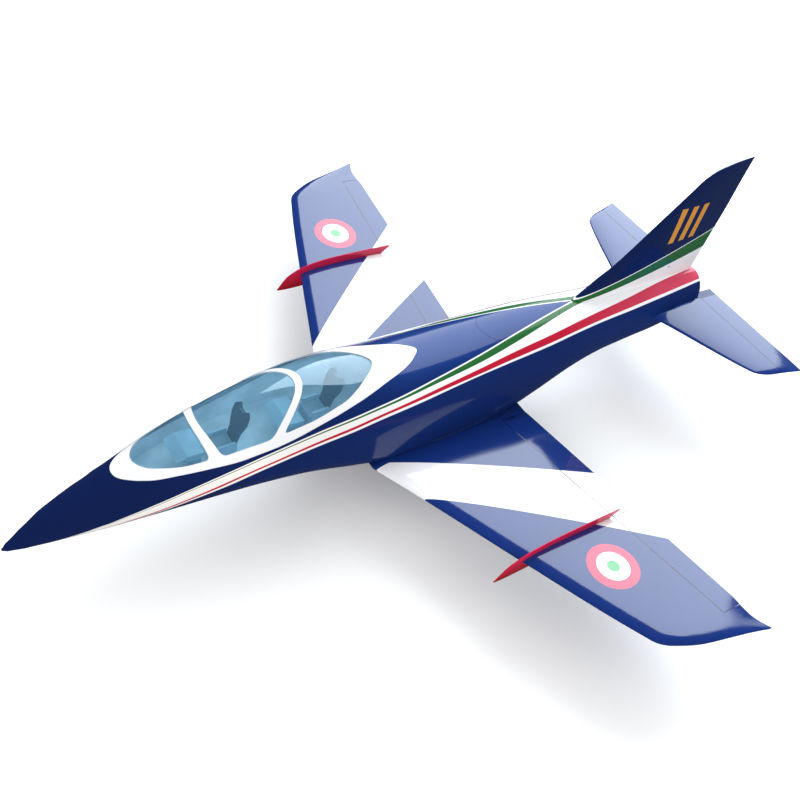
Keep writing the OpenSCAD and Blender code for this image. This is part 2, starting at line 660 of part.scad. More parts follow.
// ---------- aileron drive, in the servo frame ----------
module servo() {
  translate([-16, -22, -7]) cube([30, 24, 14]);
  translate([0, 1.9, 0]) rotate([-90, 0, 0]) cylinder(h = 5, r = 2, $fn = 48);
}
module servo_arm() {
  difference() {
    union() {
      translate([0, 4, 0]) rotate([-90, 0, 0]) cylinder(h = 4, r = 4.5, $fn = 48);
      translate([-2.5, 6, -arm_l - 2]) cube([5, 2, arm_l]);
      translate([0, 8, -arm_l]) rotate([-90, 0, 0]) translate([0, 0, -1]) cylinder(h = 5, r = 1, $fn = 32);
    }
    translate([0, 1, 0]) rotate([-90, 0, 0]) cylinder(h = 9, r = 2.05, $fn = 48);
  }
}
module rod() {
  difference() {
    union() {
      translate([-77.5, 9.8, -arm_l]) rotate([0, 90, 0]) cylinder(h = 75, r = 1.1, $fn = 32);
      for (x = [0, -80]) translate([x, 8.6, -arm_l]) rotate([-90, 0, 0]) cylinder(h = 2.4, r = 3.2, $fn = 48);
    }
    for (x = [0, -80]) translate([x, 7, -arm_l]) rotate([-90, 0, 0]) cylinder(h = 6, r = 1.05, $fn = 48);
  }
}
module servo_left() color(dark) on_servo() servo();
module servo_right() color(dark) mirror([0, 1, 0]) on_servo() servo();
module servo_arm_left() color(white) on_servo() servo_arm();
module servo_arm_right() color(white) mirror([0, 1, 0]) on_servo() servo_arm();
module pushrod_left() color(metal) on_servo() rod();
module pushrod_right() color(metal) mirror([0, 1, 0]) on_servo() rod();

fuselage_shell();
canopy_frame();
canopy_glass();
cockpit_tub();
seat_front();
seat_rear();
panel_front();
panel_rear();
rear_hatch();
fin();
rudder();
wing_left();
wing_right();
aileron_left();
aileron_right();
flap_left();
flap_right();
fence_left();
fence_right();
wing_tube();
wing_bolts();
stab_left();
stab_right();
elevator_left();
elevator_right();
stab_pins();
nose_former();
main_former();
rear_former();
tail_former();
turbine_case();
turbine_rotor();
turbine_rails();
thrust_tube();
fuel_tank();
battery();
receiver();
nose_retract();
nose_strut();
nose_hub();
nose_tyre();
nose_door();
main_retract_left();
main_retract_right();
main_strut_left();
main_strut_right();
main_hub_left();
main_hub_right();
main_tyre_left();
main_tyre_right();
main_door_left();
main_door_right();
servo_left();
servo_right();
servo_arm_left();
servo_arm_right();
pushrod_left();
pushrod_right();
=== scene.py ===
import math

import bpy
import numpy as np
from mathutils import Matrix, Vector
from mathutils.bvhtree import BVHTree


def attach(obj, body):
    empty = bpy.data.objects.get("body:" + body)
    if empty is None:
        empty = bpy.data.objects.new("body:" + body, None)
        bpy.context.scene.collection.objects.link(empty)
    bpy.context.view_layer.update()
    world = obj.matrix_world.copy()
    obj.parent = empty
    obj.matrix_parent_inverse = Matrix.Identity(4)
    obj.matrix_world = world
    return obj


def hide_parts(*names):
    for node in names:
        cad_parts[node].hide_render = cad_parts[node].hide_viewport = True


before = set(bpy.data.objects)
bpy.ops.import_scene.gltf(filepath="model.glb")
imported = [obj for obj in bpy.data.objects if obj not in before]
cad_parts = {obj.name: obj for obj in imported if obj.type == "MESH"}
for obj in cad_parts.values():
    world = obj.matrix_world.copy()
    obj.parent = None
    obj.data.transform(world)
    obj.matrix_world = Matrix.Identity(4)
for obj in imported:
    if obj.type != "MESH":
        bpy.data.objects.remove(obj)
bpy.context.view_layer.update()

# A two-metre sport jet model. The forms below are the CAD's own, in millimetres, drawn finer, and become
# metres as a mesh is made: X to the nose, Y to the left wing, Z up, belly on Z = 0.
MM = 0.001

SKIN = 2.4          # moulded skin thickness
GLASS = 1.8         # canopy thickness
LID_GAP = 0.6       # gap round the canopy frame and the hatch
ROOT_GAP = 0.05     # fit of the wings, tailplane and fin on the fuselage
COVE_GAP = 0.55     # running gap in the hinge coves
NOSE_SUNK = 0.15    # depth of the round panel noses under the skin
TAIL_EDGE = 0.4     # half thickness of the trailing edges
WING_TC, STAB_TC, FIN_TC = 0.080, 0.075, 0.075
DIHEDRAL, WING_Z, STAB_Z = 0.0873, 21.6, 165.0
STAB_HINGE = -1032.5
WING_INNER, WING_HINGE, WING_HINGE_SWEEP = 154.0, -191.5, 0.11523   # span, hinge station there, sweep
FIN_LOW, FIN_HINGE, FIN_HINGE_SWEEP = 262.0, -938.0, 0.14           # the same for the rudder
WING_COVE, FLAP_SPAN, AILERON_SPAN = (153, 915.2), (154.2, 566), (568.4, 914)
FLAP_RELIEF = 421   # length of the relief under the flap's nose
STAB_COVE_IN, ELEVATOR_IN = 71.4, 72.6
RUDDER_SPAN = (264, 598)
SERVO_Y, SERVO_X, ARM = 740.0, 80.0, 22.0           # span, distance ahead of the hinge, horn length
GEAR_X, GEAR_Y, MAIN_LEG, MAIN_WHEEL = -15.0, 360.0, 138.0, 84.0    # pivot, leg length, wheel size
JET_Z = 163.0       # height of the turbine's axis
INLET_Y, INLET_HALF = 92.0, 22.0
SLOT_STATIONS, SLOT_Y, SLOT_HALF, SLOT_LENGTH = (-640, -610, -580), 22.0, 12.0, 12.0
JOINER_X, JOINER_Z, JOINER_BORE = 80.0, 43.0, 8.05
FLOOR_Z = -127.6    # just under the wheels when the legs are down

# ---------- shared formulas ----------


def lerp(a, b, t):
    return a + (b - a) * t


def signed_power(v, p):
    return np.sign(v) * np.abs(v) ** p


def smooth_column(table, x, k):
    """Column k of a table at x, on one smooth curve that never overshoots its points."""
    t = np.asarray(sorted(table), float)
    xs, ys = t[:, 0], t[:, k]
    h, d = np.diff(xs), np.diff(ys) / np.diff(xs)
    m = np.zeros(len(xs))
    same = d[:-1] * d[1:] > 0
    w1, w2 = 2 * h[1:] + h[:-1], h[1:] + 2 * h[:-1]
    safe = np.where(same, d[:-1], 1.0), np.where(same, d[1:], 1.0)
    m[1:-1] = np.where(same, (w1 + w2) / (w1 / safe[0] + w2 / safe[1]), 0)
    m[0], m[-1] = d[0], d[-1]
    x = np.asarray(x, float)
    i = np.clip(np.searchsorted(xs, x) - 1, 0, len(h) - 1)
    u = np.clip((x - xs[i]) / h[i], 0, 1)
    return (ys[i] * (1 + 2 * u) * (1 - u) ** 2 + m[i] * h[i] * u * (1 - u) ** 2
            + ys[i + 1] * u * u * (3 - 2 * u) + m[i + 1] * h[i] * u * u * (u - 1))


def between(a, b, c, d, u):
    """Value at share u from b to c on a smooth curve through a, b, c and d."""
    return b + 0.5 * u * (c - a + u * (2 * a - 5 * b + 4 * c - d + u * (3 * (b - c) + d - a)))


def through_column(table, x, k):
    """Column k of a table at x, on the curve through its points with slopes from their neighbours."""
    t = np.asarray(sorted(table), float)
    xs, ys = t[:, 0], t[:, k]
    i = np.clip(np.searchsorted(xs, x) - 1, 0, len(xs) - 2)
    u = np.clip((x - xs[i]) / (xs[i + 1] - xs[i]), 0, 1)
    return between(ys[np.maximum(i - 1, 0)], ys[i], ys[i + 1], ys[np.minimum(i + 2, len(xs) - 1)], u)


# ---------- meshes ----------
CREASE = 40         # edges of the lofted skins sharper than this many degrees stay crisp
ON_FORM = 0.12      # a point this near to a form lies on it
SAME_WAY = 0.86     # least cosine between a face and the form under it
SLIVER = 1e-14      # twice the area of a triangle too thin to divide


def linked(obj):
    bpy.context.scene.collection.objects.link(obj)
    return obj


def new_object(name, points, faces, smooth=True):
    """A mesh object from points in millimetres."""
    mesh = bpy.data.meshes.new(name)
    mesh.from_pydata([Vector(p) * MM for p in points], [], faces)
    mesh.validate()
    mesh.polygons.foreach_set("use_smooth", [smooth] * len(mesh.polygons))
    return linked(bpy.data.objects.new(name, mesh))


def loft(name, rings, smooth=True):
    """A closed solid through rings of equal point count."""
    n, m = len(rings[0]), len(rings)
    faces = [[i * n + j, (i + 1) * n + j, (i + 1) * n + (j + 1) % n, i * n + (j + 1) % n]
             for i in range(m - 1) for j in range(n)]
    faces += [list(range(n)), list(range((m - 1) * n, m * n))[::-1]]
    made = new_object(name, [p for r in rings for p in r], faces, smooth)
    outward(made)
    return made


def coordinates(mesh):
    co = np.empty(len(mesh.vertices) * 3)
    mesh.vertices.foreach_get("co", co)
    return co.reshape(-1, 3)


def outward(obj):
    """Turns a closed mesh the right way out."""
    m = obj.data
    co = coordinates(m)
    m.calc_loop_triangles()
    tri = np.empty(len(m.loop_triangles) * 3, int)
    m.loop_triangles.foreach_get("vertices", tri)
    a, b, c = (co[tri.reshape(-1, 3)[:, k]] for k in range(3))
    if np.einsum("ij,ij->i", a, np.cross(b, c)).sum() < 0:
        m.flip_normals()


def prism(name, outline, low, high, axis="z"):
    """A straight prism over an outline, between two heights along z or two spans along y."""
    ends = [[(x, h, v) if axis == "y" else (x, v, h) for x, v in outline] for h in (low, high)]
    return loft(name, ends, False)


def drop(*objs):
    for o in objs:
        mesh = o.data
        bpy.data.objects.remove(o)
        bpy.data.meshes.remove(mesh)


def apply_modifiers(obj):
    dg = bpy.context.evaluated_depsgraph_get()
    made = bpy.data.meshes.new_from_object(obj.evaluated_get(dg), depsgraph=dg)
    obj.modifiers.clear()
    old = obj.data
    obj.data = made
    bpy.data.meshes.remove(old)


def boolean(obj, others, operation="DIFFERENCE", keep=False):
    """Cuts others out of obj, joins them to it, or keeps what they share."""
    for other in others:
        mod = obj.modifiers.new("cut", "BOOLEAN")
        mod.operation, mod.solver, mod.object = operation, "EXACT", other
        apply_modifiers(obj)
    if not keep:
        drop(*others)


def copy_of(obj, name):
    made = obj.copy()
    made.data = obj.data.copy()
    made.name = name
    return linked(made)


def mirrored(obj, name):
    """The same mesh on the other side of the plane of symmetry."""
    made = copy_of(obj, name)
    made.data.transform(Matrix.Diagonal((1, -1, 1, 1)))
    made.data.flip_normals()
    return made


def smooth_out(mesh, crease):
    """Smooth faces, with crisp edges where they meet at more than crease degrees."""
    mesh.polygons.foreach_set("use_smooth", [True] * len(mesh.polygons))
    mesh.set_sharp_from_angle(angle=math.radians(crease))


def shade(obj, forms):
    """Smooth normals from the uncut forms wherever obj lies on one of them, and crisp edges elsewhere."""
    mesh = obj.data
    smooth_out(mesh, CREASE)
    trees = []
    for form in forms:
        form.data.calc_loop_triangles()
        corners = [list(t.vertices) for t in form.data.loop_triangles]
        tree = BVHTree.FromPolygons([v.co for v in form.data.vertices], corners)
        trees.append((tree, form.data, corners))
    found = [{} for _ in trees]
    normals = [Vector(n.vector) for n in mesh.corner_normals]
    for poly in mesh.polygons:
        for li in poly.loop_indices:
            vi = mesh.loops[li].vertex_index
            for known, surface_under in zip(found, trees):
                if vi not in known:
                    known[vi] = form_normal(*surface_under, mesh.vertices[vi].co)
                n = known[vi]
                if n is not None and abs(n.dot(poly.normal)) > SAME_WAY:
                    normals[li] = n if n.dot(poly.normal) > 0 else -n
                    break
    mesh.normals_split_custom_set(normals)


def form_normal(tree, form, triangles, point):
    """Smooth normal of a form at a point that lies on it, or None for a point elsewhere."""
    at, _, index, away = tree.find_nearest(point)
    if at is None or away > ON_FORM * MM:
        return None
    a, b, c = (form.vertices[i] for i in triangles[index])
    whole = (b.co - a.co).cross(c.co - a.co).length
    if whole < SLIVER:
        return a.normal.copy()
    wa = (b.co - at).cross(c.co - at).length / whole
    wb = (c.co - at).cross(a.co - at).length / whole
    return (a.normal * wa + b.normal * wb + c.normal * max(0.0, 1 - wa - wb)).normalized()


# ---------- fuselage form ----------
# station, half width, top, bottom, height share of the widest line, lower roundness
BODY = [
    (1118, 2.5, 33.5, 28, 0.45, 2), (1108, 9, 43, 25, 0.44, 2), (1075, 21, 67, 24, 0.43, 2.1),
    (1024, 35, 106, 24, 0.42, 2.2), (955, 50, 141, 23, 0.42, 2.2), (894, 62, 168, 23, 0.42, 2.2),
    (775, 81, 222, 24, 0.42, 2.2), (654, 98, 264, 26, 0.42, 2.2), (530, 113, 292, 27, 0.42, 2.3),
    (404, 128, 304, 24, 0.41, 2.5), (280, 144, 295, 10, 0.39, 2.8), (154, 154, 277, -3, 0.37, 3.2),
    (30, 154, 271, -4, 0.37, 3.2), (-95, 149, 270, -4, 0.38, 3.2), (-220, 139, 271, 0, 0.39, 3),
    (-345, 126, 271, 24, 0.41, 2.6), (-470, 107, 268, 45, 0.42, 2.3), (-595, 91, 263, 58, 0.42, 2.2),
    (-720, 83, 259, 64, 0.42, 2.2), (-845, 79, 255, 70, 0.42, 2.2), (-945, 72, 249, 80, 0.42, 2.2),
    (-1025, 64, 242, 92, 0.42, 2.2)]
TOP_ROUND = 2.2
NOSE_CAP = 30       # length of the nose tip, where the rings stand close together
LID_CUT = (150, 550)        # heights between which the lids are cut out
UNDER_LID = (30, 910)       # stations of the forms that hollow the canopy
GLASS_SUNK = SKIN + 0.02    # depth of the glass under the skin, clear of the frame
GLASS_EDGE = 4.0            # its distance in from the frame's rim
NOSE_X, TAIL_X = BODY[0][0], BODY[-1][0]


def section(x):
    """Half width, widest height, heights above and below it, and lower roundness at a station."""
    w, top, low, share, n = (through_column(BODY, np.asarray(x, float), k) for k in range(1, 6))
    middle = lerp(low, top, share)
    return w, middle, top - middle, middle - low, n


def body_ring(x, inset, sides):
    """One ring of the form, drawn in by inset and never below the belly plane."""
    w, middle, up, down, n = (float(v) for v in section(x))
    a = np.arange(sides) * 2 * math.pi / sides
    c, s = np.cos(a), np.sin(a)
    e = np.where(s >= 0, 2 / TOP_ROUND, 2 / n)
    rise = np.where(s >= 0, max(up - inset, 0.4), max(down - inset, 0.4))
    y = max(w - inset, 0.4) * signed_power(c, e)
    z = middle + rise * signed_power(s, e)
    z = np.where(s >= 0, z, np.maximum(z, max(inset, 0)))
    return np.column_stack([np.full(sides, x), y, z])


def body(name, inset=0.0, x0=TAIL_X, x1=NOSE_X, over=0.0, pitch=12.0, sides=96):
    """The moulded form drawn in by inset, its ends pushed out by over."""
    n = max(int((x1 - x0) / pitch), 4)
    xs = list(np.linspace(x0, x1, n))
    if x1 == NOSE_X:
        xs = [x for x in xs if x < x1 - NOSE_CAP]
        xs += [x1 - NOSE_CAP * (k / 8) ** 1.6 for k in range(8, -1, -1)]
    rings = [body_ring(x, inset, sides) for x in xs]
    rings[0][:, 0] -= over
    rings[-1][:, 0] += over
    return loft(name, rings)


# half plans, station and half width: canopy frame, glazed area, rear hatch
LID = [(866, 0.5), (863, 14), (854, 26), (838, 38), (818, 49), (785, 62), (730, 75), (673, 86),
       (610, 96), (554, 102), (490, 107), (426, 108), (350, 104), (282, 94), (236, 83), (194, 70),
       (150, 56), (115, 43), (84, 26), (58, 0.5)]
GLAZED = [(820, 0.5), (817, 14), (806, 30), (784, 46), (727, 67), (659, 80), (626, 85), (582, 90),
          (524, 95.5), (443, 98.5), (389, 97), (322, 87), (285, 73), (252, 54), (222, 33), (204, 14),
          (198, 0.5)]
HATCH = [(-150, 0.5), (-156, 20), (-166, 36), (-185, 50), (-220, 58), (-300, 60), (-360, 56),
         (-400, 44), (-420, 28), (-432, 0.5)]


def plan_outline(half_plan, inset, fine=6):
    """A closed smooth outline from a half plan, drawn in by inset."""
    p = np.array(half_plan, float)
    middle = (p[0, 0] + p[-1, 0]) / 2
    k = (p[0, 0] - middle - inset) / (p[0, 0] - middle)
    p[:, 0] = middle + (p[:, 0] - middle) * k
    p[:, 1] = np.maximum(p[:, 1] - inset, 0.3)
    p[[0, -1], 1] = 0
    both = np.vstack([p, p[-2:0:-1] * [1, -1]])
    return closed_curve(both, fine)


def closed_curve(points, fine):
    """Closed curve through points, with fine steps between each two."""
    p = np.asarray(points, float)
    steps = [between(np.roll(p, 1, 0), p, np.roll(p, -1, 0), np.roll(p, -2, 0), u)
             for u in np.arange(fine) / fine]
    return np.stack(steps, 1).reshape(-1, 2)


def rounded_outline(points, radius, steps=6):
    """A polygon with its corners rounded off."""
    p = [Vector(q) for q in points]
    out = []
    for i, at in enumerate(p):
        before, after = (p[i - 1] - at), (p[(i + 1) % len(p)] - at)
        r = min(radius, before.length * 0.45, after.length * 0.45)
        a, b = at + before.normalized() * r, at + after.normalized() * r
        out += [a.lerp(at, t).lerp(at.lerp(b, t), t) for t in (k / steps for k in range(steps + 1))]
    return [(q.x, q.y) for q in out]


# edges of the two arches of the canopy frame: station at the crown and 110 mm out
ARCHES = [(680, 648), (664, 618), (422, 545), (404, 513)]
ARCH_REACH = 110
PANE_CORNER = 12


def arch(crown, foot, edge):
    """Curved edge of a canopy arch, from the right side of the glazed area to the left."""
    near = edge[edge[:, 1] >= 0]
    near = near[np.argsort(near[:, 0])]
    y = np.linspace(0, ARCH_REACH, 441)
    x = lerp(crown, foot, (y / ARCH_REACH) ** 2)
    end = y[np.argmax(y >= np.interp(x, near[:, 0], near[:, 1]))]
    y = np.linspace(-end, end, 41)
    return np.column_stack([lerp(crown, foot, (y / ARCH_REACH) ** 2), y])


def cut_back(line, by):
    """A polyline shortened by the same length at both ends."""
    along = np.concatenate([[0], np.cumsum(np.linalg.norm(np.diff(line, axis=0), axis=1))])
    s = np.linspace(by, along[-1] - by, len(line))
    return np.column_stack([np.interp(s, along, line[:, k]) for k in (0, 1)])


def rounded_loop(sides, radius):
    """Joins polylines that meet end to end into one outline with rounded corners."""
    short = [cut_back(side, radius) for side in sides]
    out = []
    for k, side in enumerate(short):
        corner, after = sides[k][-1], short[(k + 1) % len(short)][0]
        out += list(side) + [lerp(lerp(side[-1], corner, t), lerp(corner, after, t), t)
                             for t in (0.17, 0.33, 0.5, 0.67, 0.83)]
    return [tuple(q) for q in out]


def pane_outlines():
    """Outlines of the three windows."""
    edge = plan_outline(GLAZED, 0, 8)
    a, b, c, d = (arch(crown, foot, edge) for crown, foot in ARCHES)
    x_a, x_b, x_c, x_d = (line[-1, 0] for line in (a, b, c, d))
    ahead, behind = edge[edge[:, 0] > x_a + 1], edge[edge[:, 0] < x_d - 1]
    ahead = ahead[np.argsort(-np.arctan2(ahead[:, 1], ahead[:, 0] - x_a))]
    behind = behind[np.argsort(np.arctan2(behind[:, 1], x_d - behind[:, 0]))]
    left = edge[(edge[:, 0] > x_c + 1) & (edge[:, 0] < x_b - 1) & (edge[:, 1] > 0)]
    left = left[np.argsort(left[:, 0])]

    def join(start, middle, end):
        return np.vstack([start[None], middle, end[None]])

    front = [a, join(a[-1], ahead, a[0])]
    centre = [c, join(c[-1], left, b[-1]), b[::-1], join(b[0], left[::-1] * [1, -1], c[0])]
    rear = [d[::-1], join(d[0], behind, d[-1])]
    return [rounded_loop(sides, PANE_CORNER) for sides in (front, centre, rear)]


# ---------- flying surfaces ----------
# span, nose, tail of each plan
WING = [(146, 233.5, -281.5), (300, 170.5, -293.5), (560, 69.5, -314), (862, -54.5, -337.5),
        (893, -70, -340), (910, -88, -339), (925, -114, -338), (948, -165, -338.5), (968, -238, -343),
        (984, -299, -350), (1000, -350, -358)]
STAB = [(70, -805, -1107.5), (118, -826.5, -1107), (366, -932, -1106), (386, -943, -1106),
        (402, -963, -1106), (414, -990, -1105.8), (424, -1030, -1105.5), (436, -1075, -1105),
        (443, -1098, -1104.5)]
FIN = [(225, -440, -1007), (262, -480, -1010), (290, -520, -1011.5), (325, -563, -1014),
       (353, -604, -1016), (393, -647, -1019.5), (484, -733, -1027.6), (573, -818, -1031),
       (600, -843, -1033), (614, -861.5, -1034), (629, -893, -1035.3), (642, -956, -1036.5),
       (647, -997, -1037.2), (649.5, -1030, -1038)]
# spans at which the outlines begin to curve in toward the tip
WING_BEND, STAB_BEND, FIN_BEND = 862, 386, 562
WING_ROOT, STAB_ROOT = WING[0][0], STAB[0][0]


def half_thickness(u):
    """Half thickness of the airfoil at share u of the chord, for a thickness and chord of one."""
    return 5 * (0.2969 * np.sqrt(u) - 0.126 * u - 0.3516 * u ** 2 + 0.2843 * u ** 3 - 0.1036 * u ** 4)


def rib(table, thick, at, points=34):
    """Airfoil section of a surface at a span: a ring of (station, height above the chord)."""
    a, b = float(smooth_column(table, at, 1)), float(smooth_column(table, at, 2))
    c = a - b
    u = (1 + np.cos(np.pi * np.arange(points + 1) / points)) / 2
    h = thick * c * half_thickness(u) + TAIL_EDGE * u
    x = a - u * c
    return np.vstack([np.column_stack([x, h]), np.column_stack([x[-2::-1], -h[-2::-1]])])


def surface(name, table, thick, bend, place):
    """A smooth flying surface. place puts (station, span, height) in the object's frame."""
    first, last = table[0][0], table[-1][0]
    spans = list(np.linspace(first, bend, 28))
    spans += [bend + (last - bend) * math.sin(t) for t in np.linspace(0, math.pi / 2, 26)[1:]]
    return loft(name, [[place(x, s, h) for x, h in rib(table, thick, s)] for s in spans])


def wing_place(x, s, h):
    return (x, s, h + WING_Z + DIHEDRAL * s)


def stab_place(x, s, h):
    return (x, s, h + STAB_Z)


def fin_place(x, s, h):
    return (x, -h, s)


def wing_hinge(y):
    return WING_HINGE - WING_HINGE_SWEEP * (y - WING_INNER)


def fin_hinge(z):
    return FIN_HINGE - FIN_HINGE_SWEEP * (z - FIN_LOW)


def nose_radius(table, thick, at, x, gap):
    """Radius of a panel's round nose at a span: just under the skin, and larger by the gap."""
    a, b = (float(np.interp(at, [r[0] for r in table], [r[k] for r in table])) for k in (1, 2))
    u = (a - x) / (a - b)
    return thick * (a - b) * half_thickness(u) + TAIL_EDGE * u - NOSE_SUNK + gap


def cone(name, p, q, r1, r2, sides=96):
    """A straight round bar between two points."""
    p, q = Vector(p), Vector(q)
    along = (q - p).normalized()
    side = along.orthogonal().normalized()
    up = along.cross(side)
    rings = [[at + (side * math.cos(a) + up * math.sin(a)) * r
              for a in (k * 2 * math.pi / sides for k in range(sides))] for at, r in ((p, r1), (q, r2))]
    return loft(name, rings)


def box(name, low, high, turn=None):
    x, y, z = zip(low, high)
    made = prism(name, [(x[0], y[0]), (x[1], y[0]), (x[1], y[1]), (x[0], y[1])], z[0], z[1])
    if turn is not None:
        made.data.transform(turn)
    return made


def rounded_box(name, low, high, radius):
    (x0, y0, z0), (x1, y1, z1) = low, high
    return prism(name, rounded_outline([(x0, y0), (x1, y0), (x1, y1), (x0, y1)], radius), z0, z1)


# direction of the wing's hinge line
WING_LINE = Vector((-WING_HINGE_SWEEP, 1, DIHEDRAL)).normalized()


def wing_point(y):
    return Vector((wing_hinge(y), y, WING_Z + DIHEDRAL * y))


def on_line(y):
    """Matrix of the frame on the wing's hinge line at a span: x forward, y along it, z up, in metres."""
    ex = (Vector((1, 0, 0)) - WING_LINE * WING_LINE.x).normalized()
    m = Matrix((ex, WING_LINE, ex.cross(WING_LINE))).transposed().to_4x4()
    m.translation = wing_point(y) * MM
    return m


def wing_nose(y0, y1, gap):
    r = [nose_radius(WING, WING_TC, y, wing_hinge(y), gap) for y in (y0, y1)]
    return cone("wing_nose", wing_point(y0), wing_point(y1), *r)


# tilt of the left wing
LEAN = Matrix.Rotation(math.atan(DIHEDRAL), 4, "X")


def wing_aft(name, y0, y1):
    """Slab behind the wing's hinge line between two spans, its ends square to the panel."""
    k = math.sqrt(1 + DIHEDRAL ** 2)
    outline = [(wing_hinge(y0), y0 * k), (wing_hinge(y1), y1 * k), (-420, y1 * k), (-420, y0 * k)]
    made = prism(name, outline, -60, 60)
    made.data.transform(Matrix.Translation((0, 0, WING_Z * MM)) @ LEAN)
    return made


def on_gear():
    """Matrix of the frame of the left main leg's pivot."""
    return Matrix.Translation(Vector((GEAR_X, GEAR_Y, WING_Z + DIHEDRAL * GEAR_Y)) * MM) @ LEAN


# ---------- materials ----------
SPOT = 0.0006       # softness of a painted edge, metres


class Paint:
    """A procedural material: a Principled shader fed by masks worked out from places on the object."""

    def __init__(self, name):
        self.material = bpy.data.materials.new(name)
        self.material.use_nodes = True
        self.tree = self.material.node_tree
        self.tree.nodes.clear()
        self.out = self.node("OutputMaterial")
        self.shader = self.node("BsdfPrincipled")
        self.tree.links.new(self.shader.outputs[0], self.out.inputs[0])
        place = self.node("TexCoord").outputs["Object"]
        parts = self.node("SeparateXYZ")
        self.tree.links.new(place, parts.inputs[0])
        self.place = place
        self.x, self.y, self.z = parts.outputs

    def node(self, kind, **values):
        made = self.tree.nodes.new("ShaderNode" + kind)
        for k, v in values.items():
            setattr(made, k, v)
        return made

    def put(self, socket, value):
        if isinstance(value, bpy.types.NodeSocket):
            self.tree.links.new(value, socket)
        elif socket.type == "RGBA" and len(value) == 3:
            socket.default_value = (*value, 1)
        else:
            socket.default_value = value

    def math(self, operation, *values):
        made = self.node("Math", operation=operation)
        for socket, v in zip(made.inputs, values):
            self.put(socket, v)
        return made.outputs[0]

    def above(self, value, edge, soft=SPOT):
        """0 below edge and 1 above it, with a soft edge."""
        made = self.node("MapRange", interpolation_type="SMOOTHSTEP")
        self.put(made.inputs["Value"], self.math("SUBTRACT", value, edge))
        self.put(made.inputs["From Min"], -soft)
        self.put(made.inputs["From Max"], soft)
        return made.outputs["Result"]

    def below(self, value, edge, soft=SPOT):
        return self.math("SUBTRACT", 1.0, self.above(value, edge, soft))

    def band(self, value, low, high, soft=SPOT):
        """1 between two values, 0 outside them."""
        return self.both(self.above(value, low, soft), self.below(value, high, soft))

    def both(self, mask, other):
        return self.math("MULTIPLY", mask, other)

    def away(self, a, a0, b, b0):
        """Distance from a place, seen along the axis that is neither a nor b."""
        u, v = self.math("SUBTRACT", a, a0), self.math("SUBTRACT", b, b0)
        return self.math("SQRT", self.math("ADD", self.math("MULTIPLY", u, u), self.math("MULTIPLY", v, v)))

    def mix(self, share, a, b):
        made = self.node("Mix", data_type="RGBA")
        for socket, v in zip((made.inputs["Factor"], made.inputs[6], made.inputs[7]), (share, a, b)):
            self.put(socket, v)
        return made.outputs[2]

    def blend(self, share, first, second):
        """Mixes two shaders."""
        made = self.node("MixShader")
        for socket, v in zip(made.inputs, (share, first.outputs[0], second.outputs[0])):
            self.put(socket, v)
        return made

    def noise(self, scale, detail=3.0, rough=0.5, where=None):
        made = self.node("TexNoise")
        self.put(made.inputs["Vector"], where or self.place)
        for k, v in (("Scale", scale), ("Detail", detail), ("Roughness", rough)):
            made.inputs[k].default_value = v
        return made.outputs["Fac"]

    def stretched(self, scale):
        """Places scaled by their own factor along each axis."""
        made = self.node("Mapping")
        self.put(made.inputs["Vector"], self.place)
        self.put(made.inputs["Scale"], scale)
        return made.outputs[0]

    def span(self, value, low, high, to_low, to_high):
        made = self.node("MapRange")
        for k, v in (("Value", value), ("From Min", low), ("From Max", high), ("To Min", to_low),
                     ("To Max", to_high)):
            self.put(made.inputs[k], v)
        return made.outputs["Result"]

    def bump(self, height, strength, distance):
        made = self.node("Bump")
        self.put(made.inputs["Height"], height)
        made.inputs["Strength"].default_value = strength
        made.inputs["Distance"].default_value = distance
        return made.outputs[0]

    def curve(self, value, low, high, points):
        """A smooth curve of value through (value, result) points, between low and high."""
        results = [p[1] for p in points]
        bottom, top = min(results) - 1, max(results) + 1
        made = self.node("FloatCurve")
        self.put(made.inputs["Value"], self.span(value, low, high, 0, 1))
        line = made.mapping.curves[0]
        at = sorted(((p[0] - low) / (high - low), (p[1] - bottom) / (top - bottom)) for p in points)
        line.points[0].location, line.points[1].location = at[0], at[-1]
        for p in at[1:-1]:
            line.points.new(*p)
        for p in line.points:
            p.handle_type = "AUTO_CLAMPED"
        made.mapping.update()
        return self.span(made.outputs[0], 0, 1, bottom, top)

    def set(self, **values):
        for k, v in values.items():
            self.put(self.shader.inputs[k.replace("_", " ")], v)


NAVY = (0.0030, 0.0112, 0.068)
FLANK = (0.0050, 0.0195, 0.115)
FILM = (0.0060, 0.0260, 0.165)
# painted sky reflection: the paler blue put along the fuselage's spine
SKY_SHEEN_BLUE = (0.0095, 0.0440, 0.215)
WHITE = (0.86, 0.86, 0.88)
# painted shade: the cream-grey that the white band turns toward the nose
SHADED_WHITE = (0.84, 0.80, 0.76)
GREEN = (0.020, 0.125, 0.030)
RED = (0.480, 0.010, 0.035)
PALE_RED = (0.640, 0.035, 0.110)
# painted sky reflection: the paler red that the red line turns toward the tail
SKY_LIT_RED = (0.600, 0.060, 0.115)
MARK_GREEN = (0.10, 0.42, 0.16)
AMBER = (0.620, 0.270, 0.035)
# near-black: the painted shadow in the hinge lines, and the dark root joint and hinge blocks of the
# tailplane
INK_AND_SHADOW = (0.004, 0.006, 0.014)


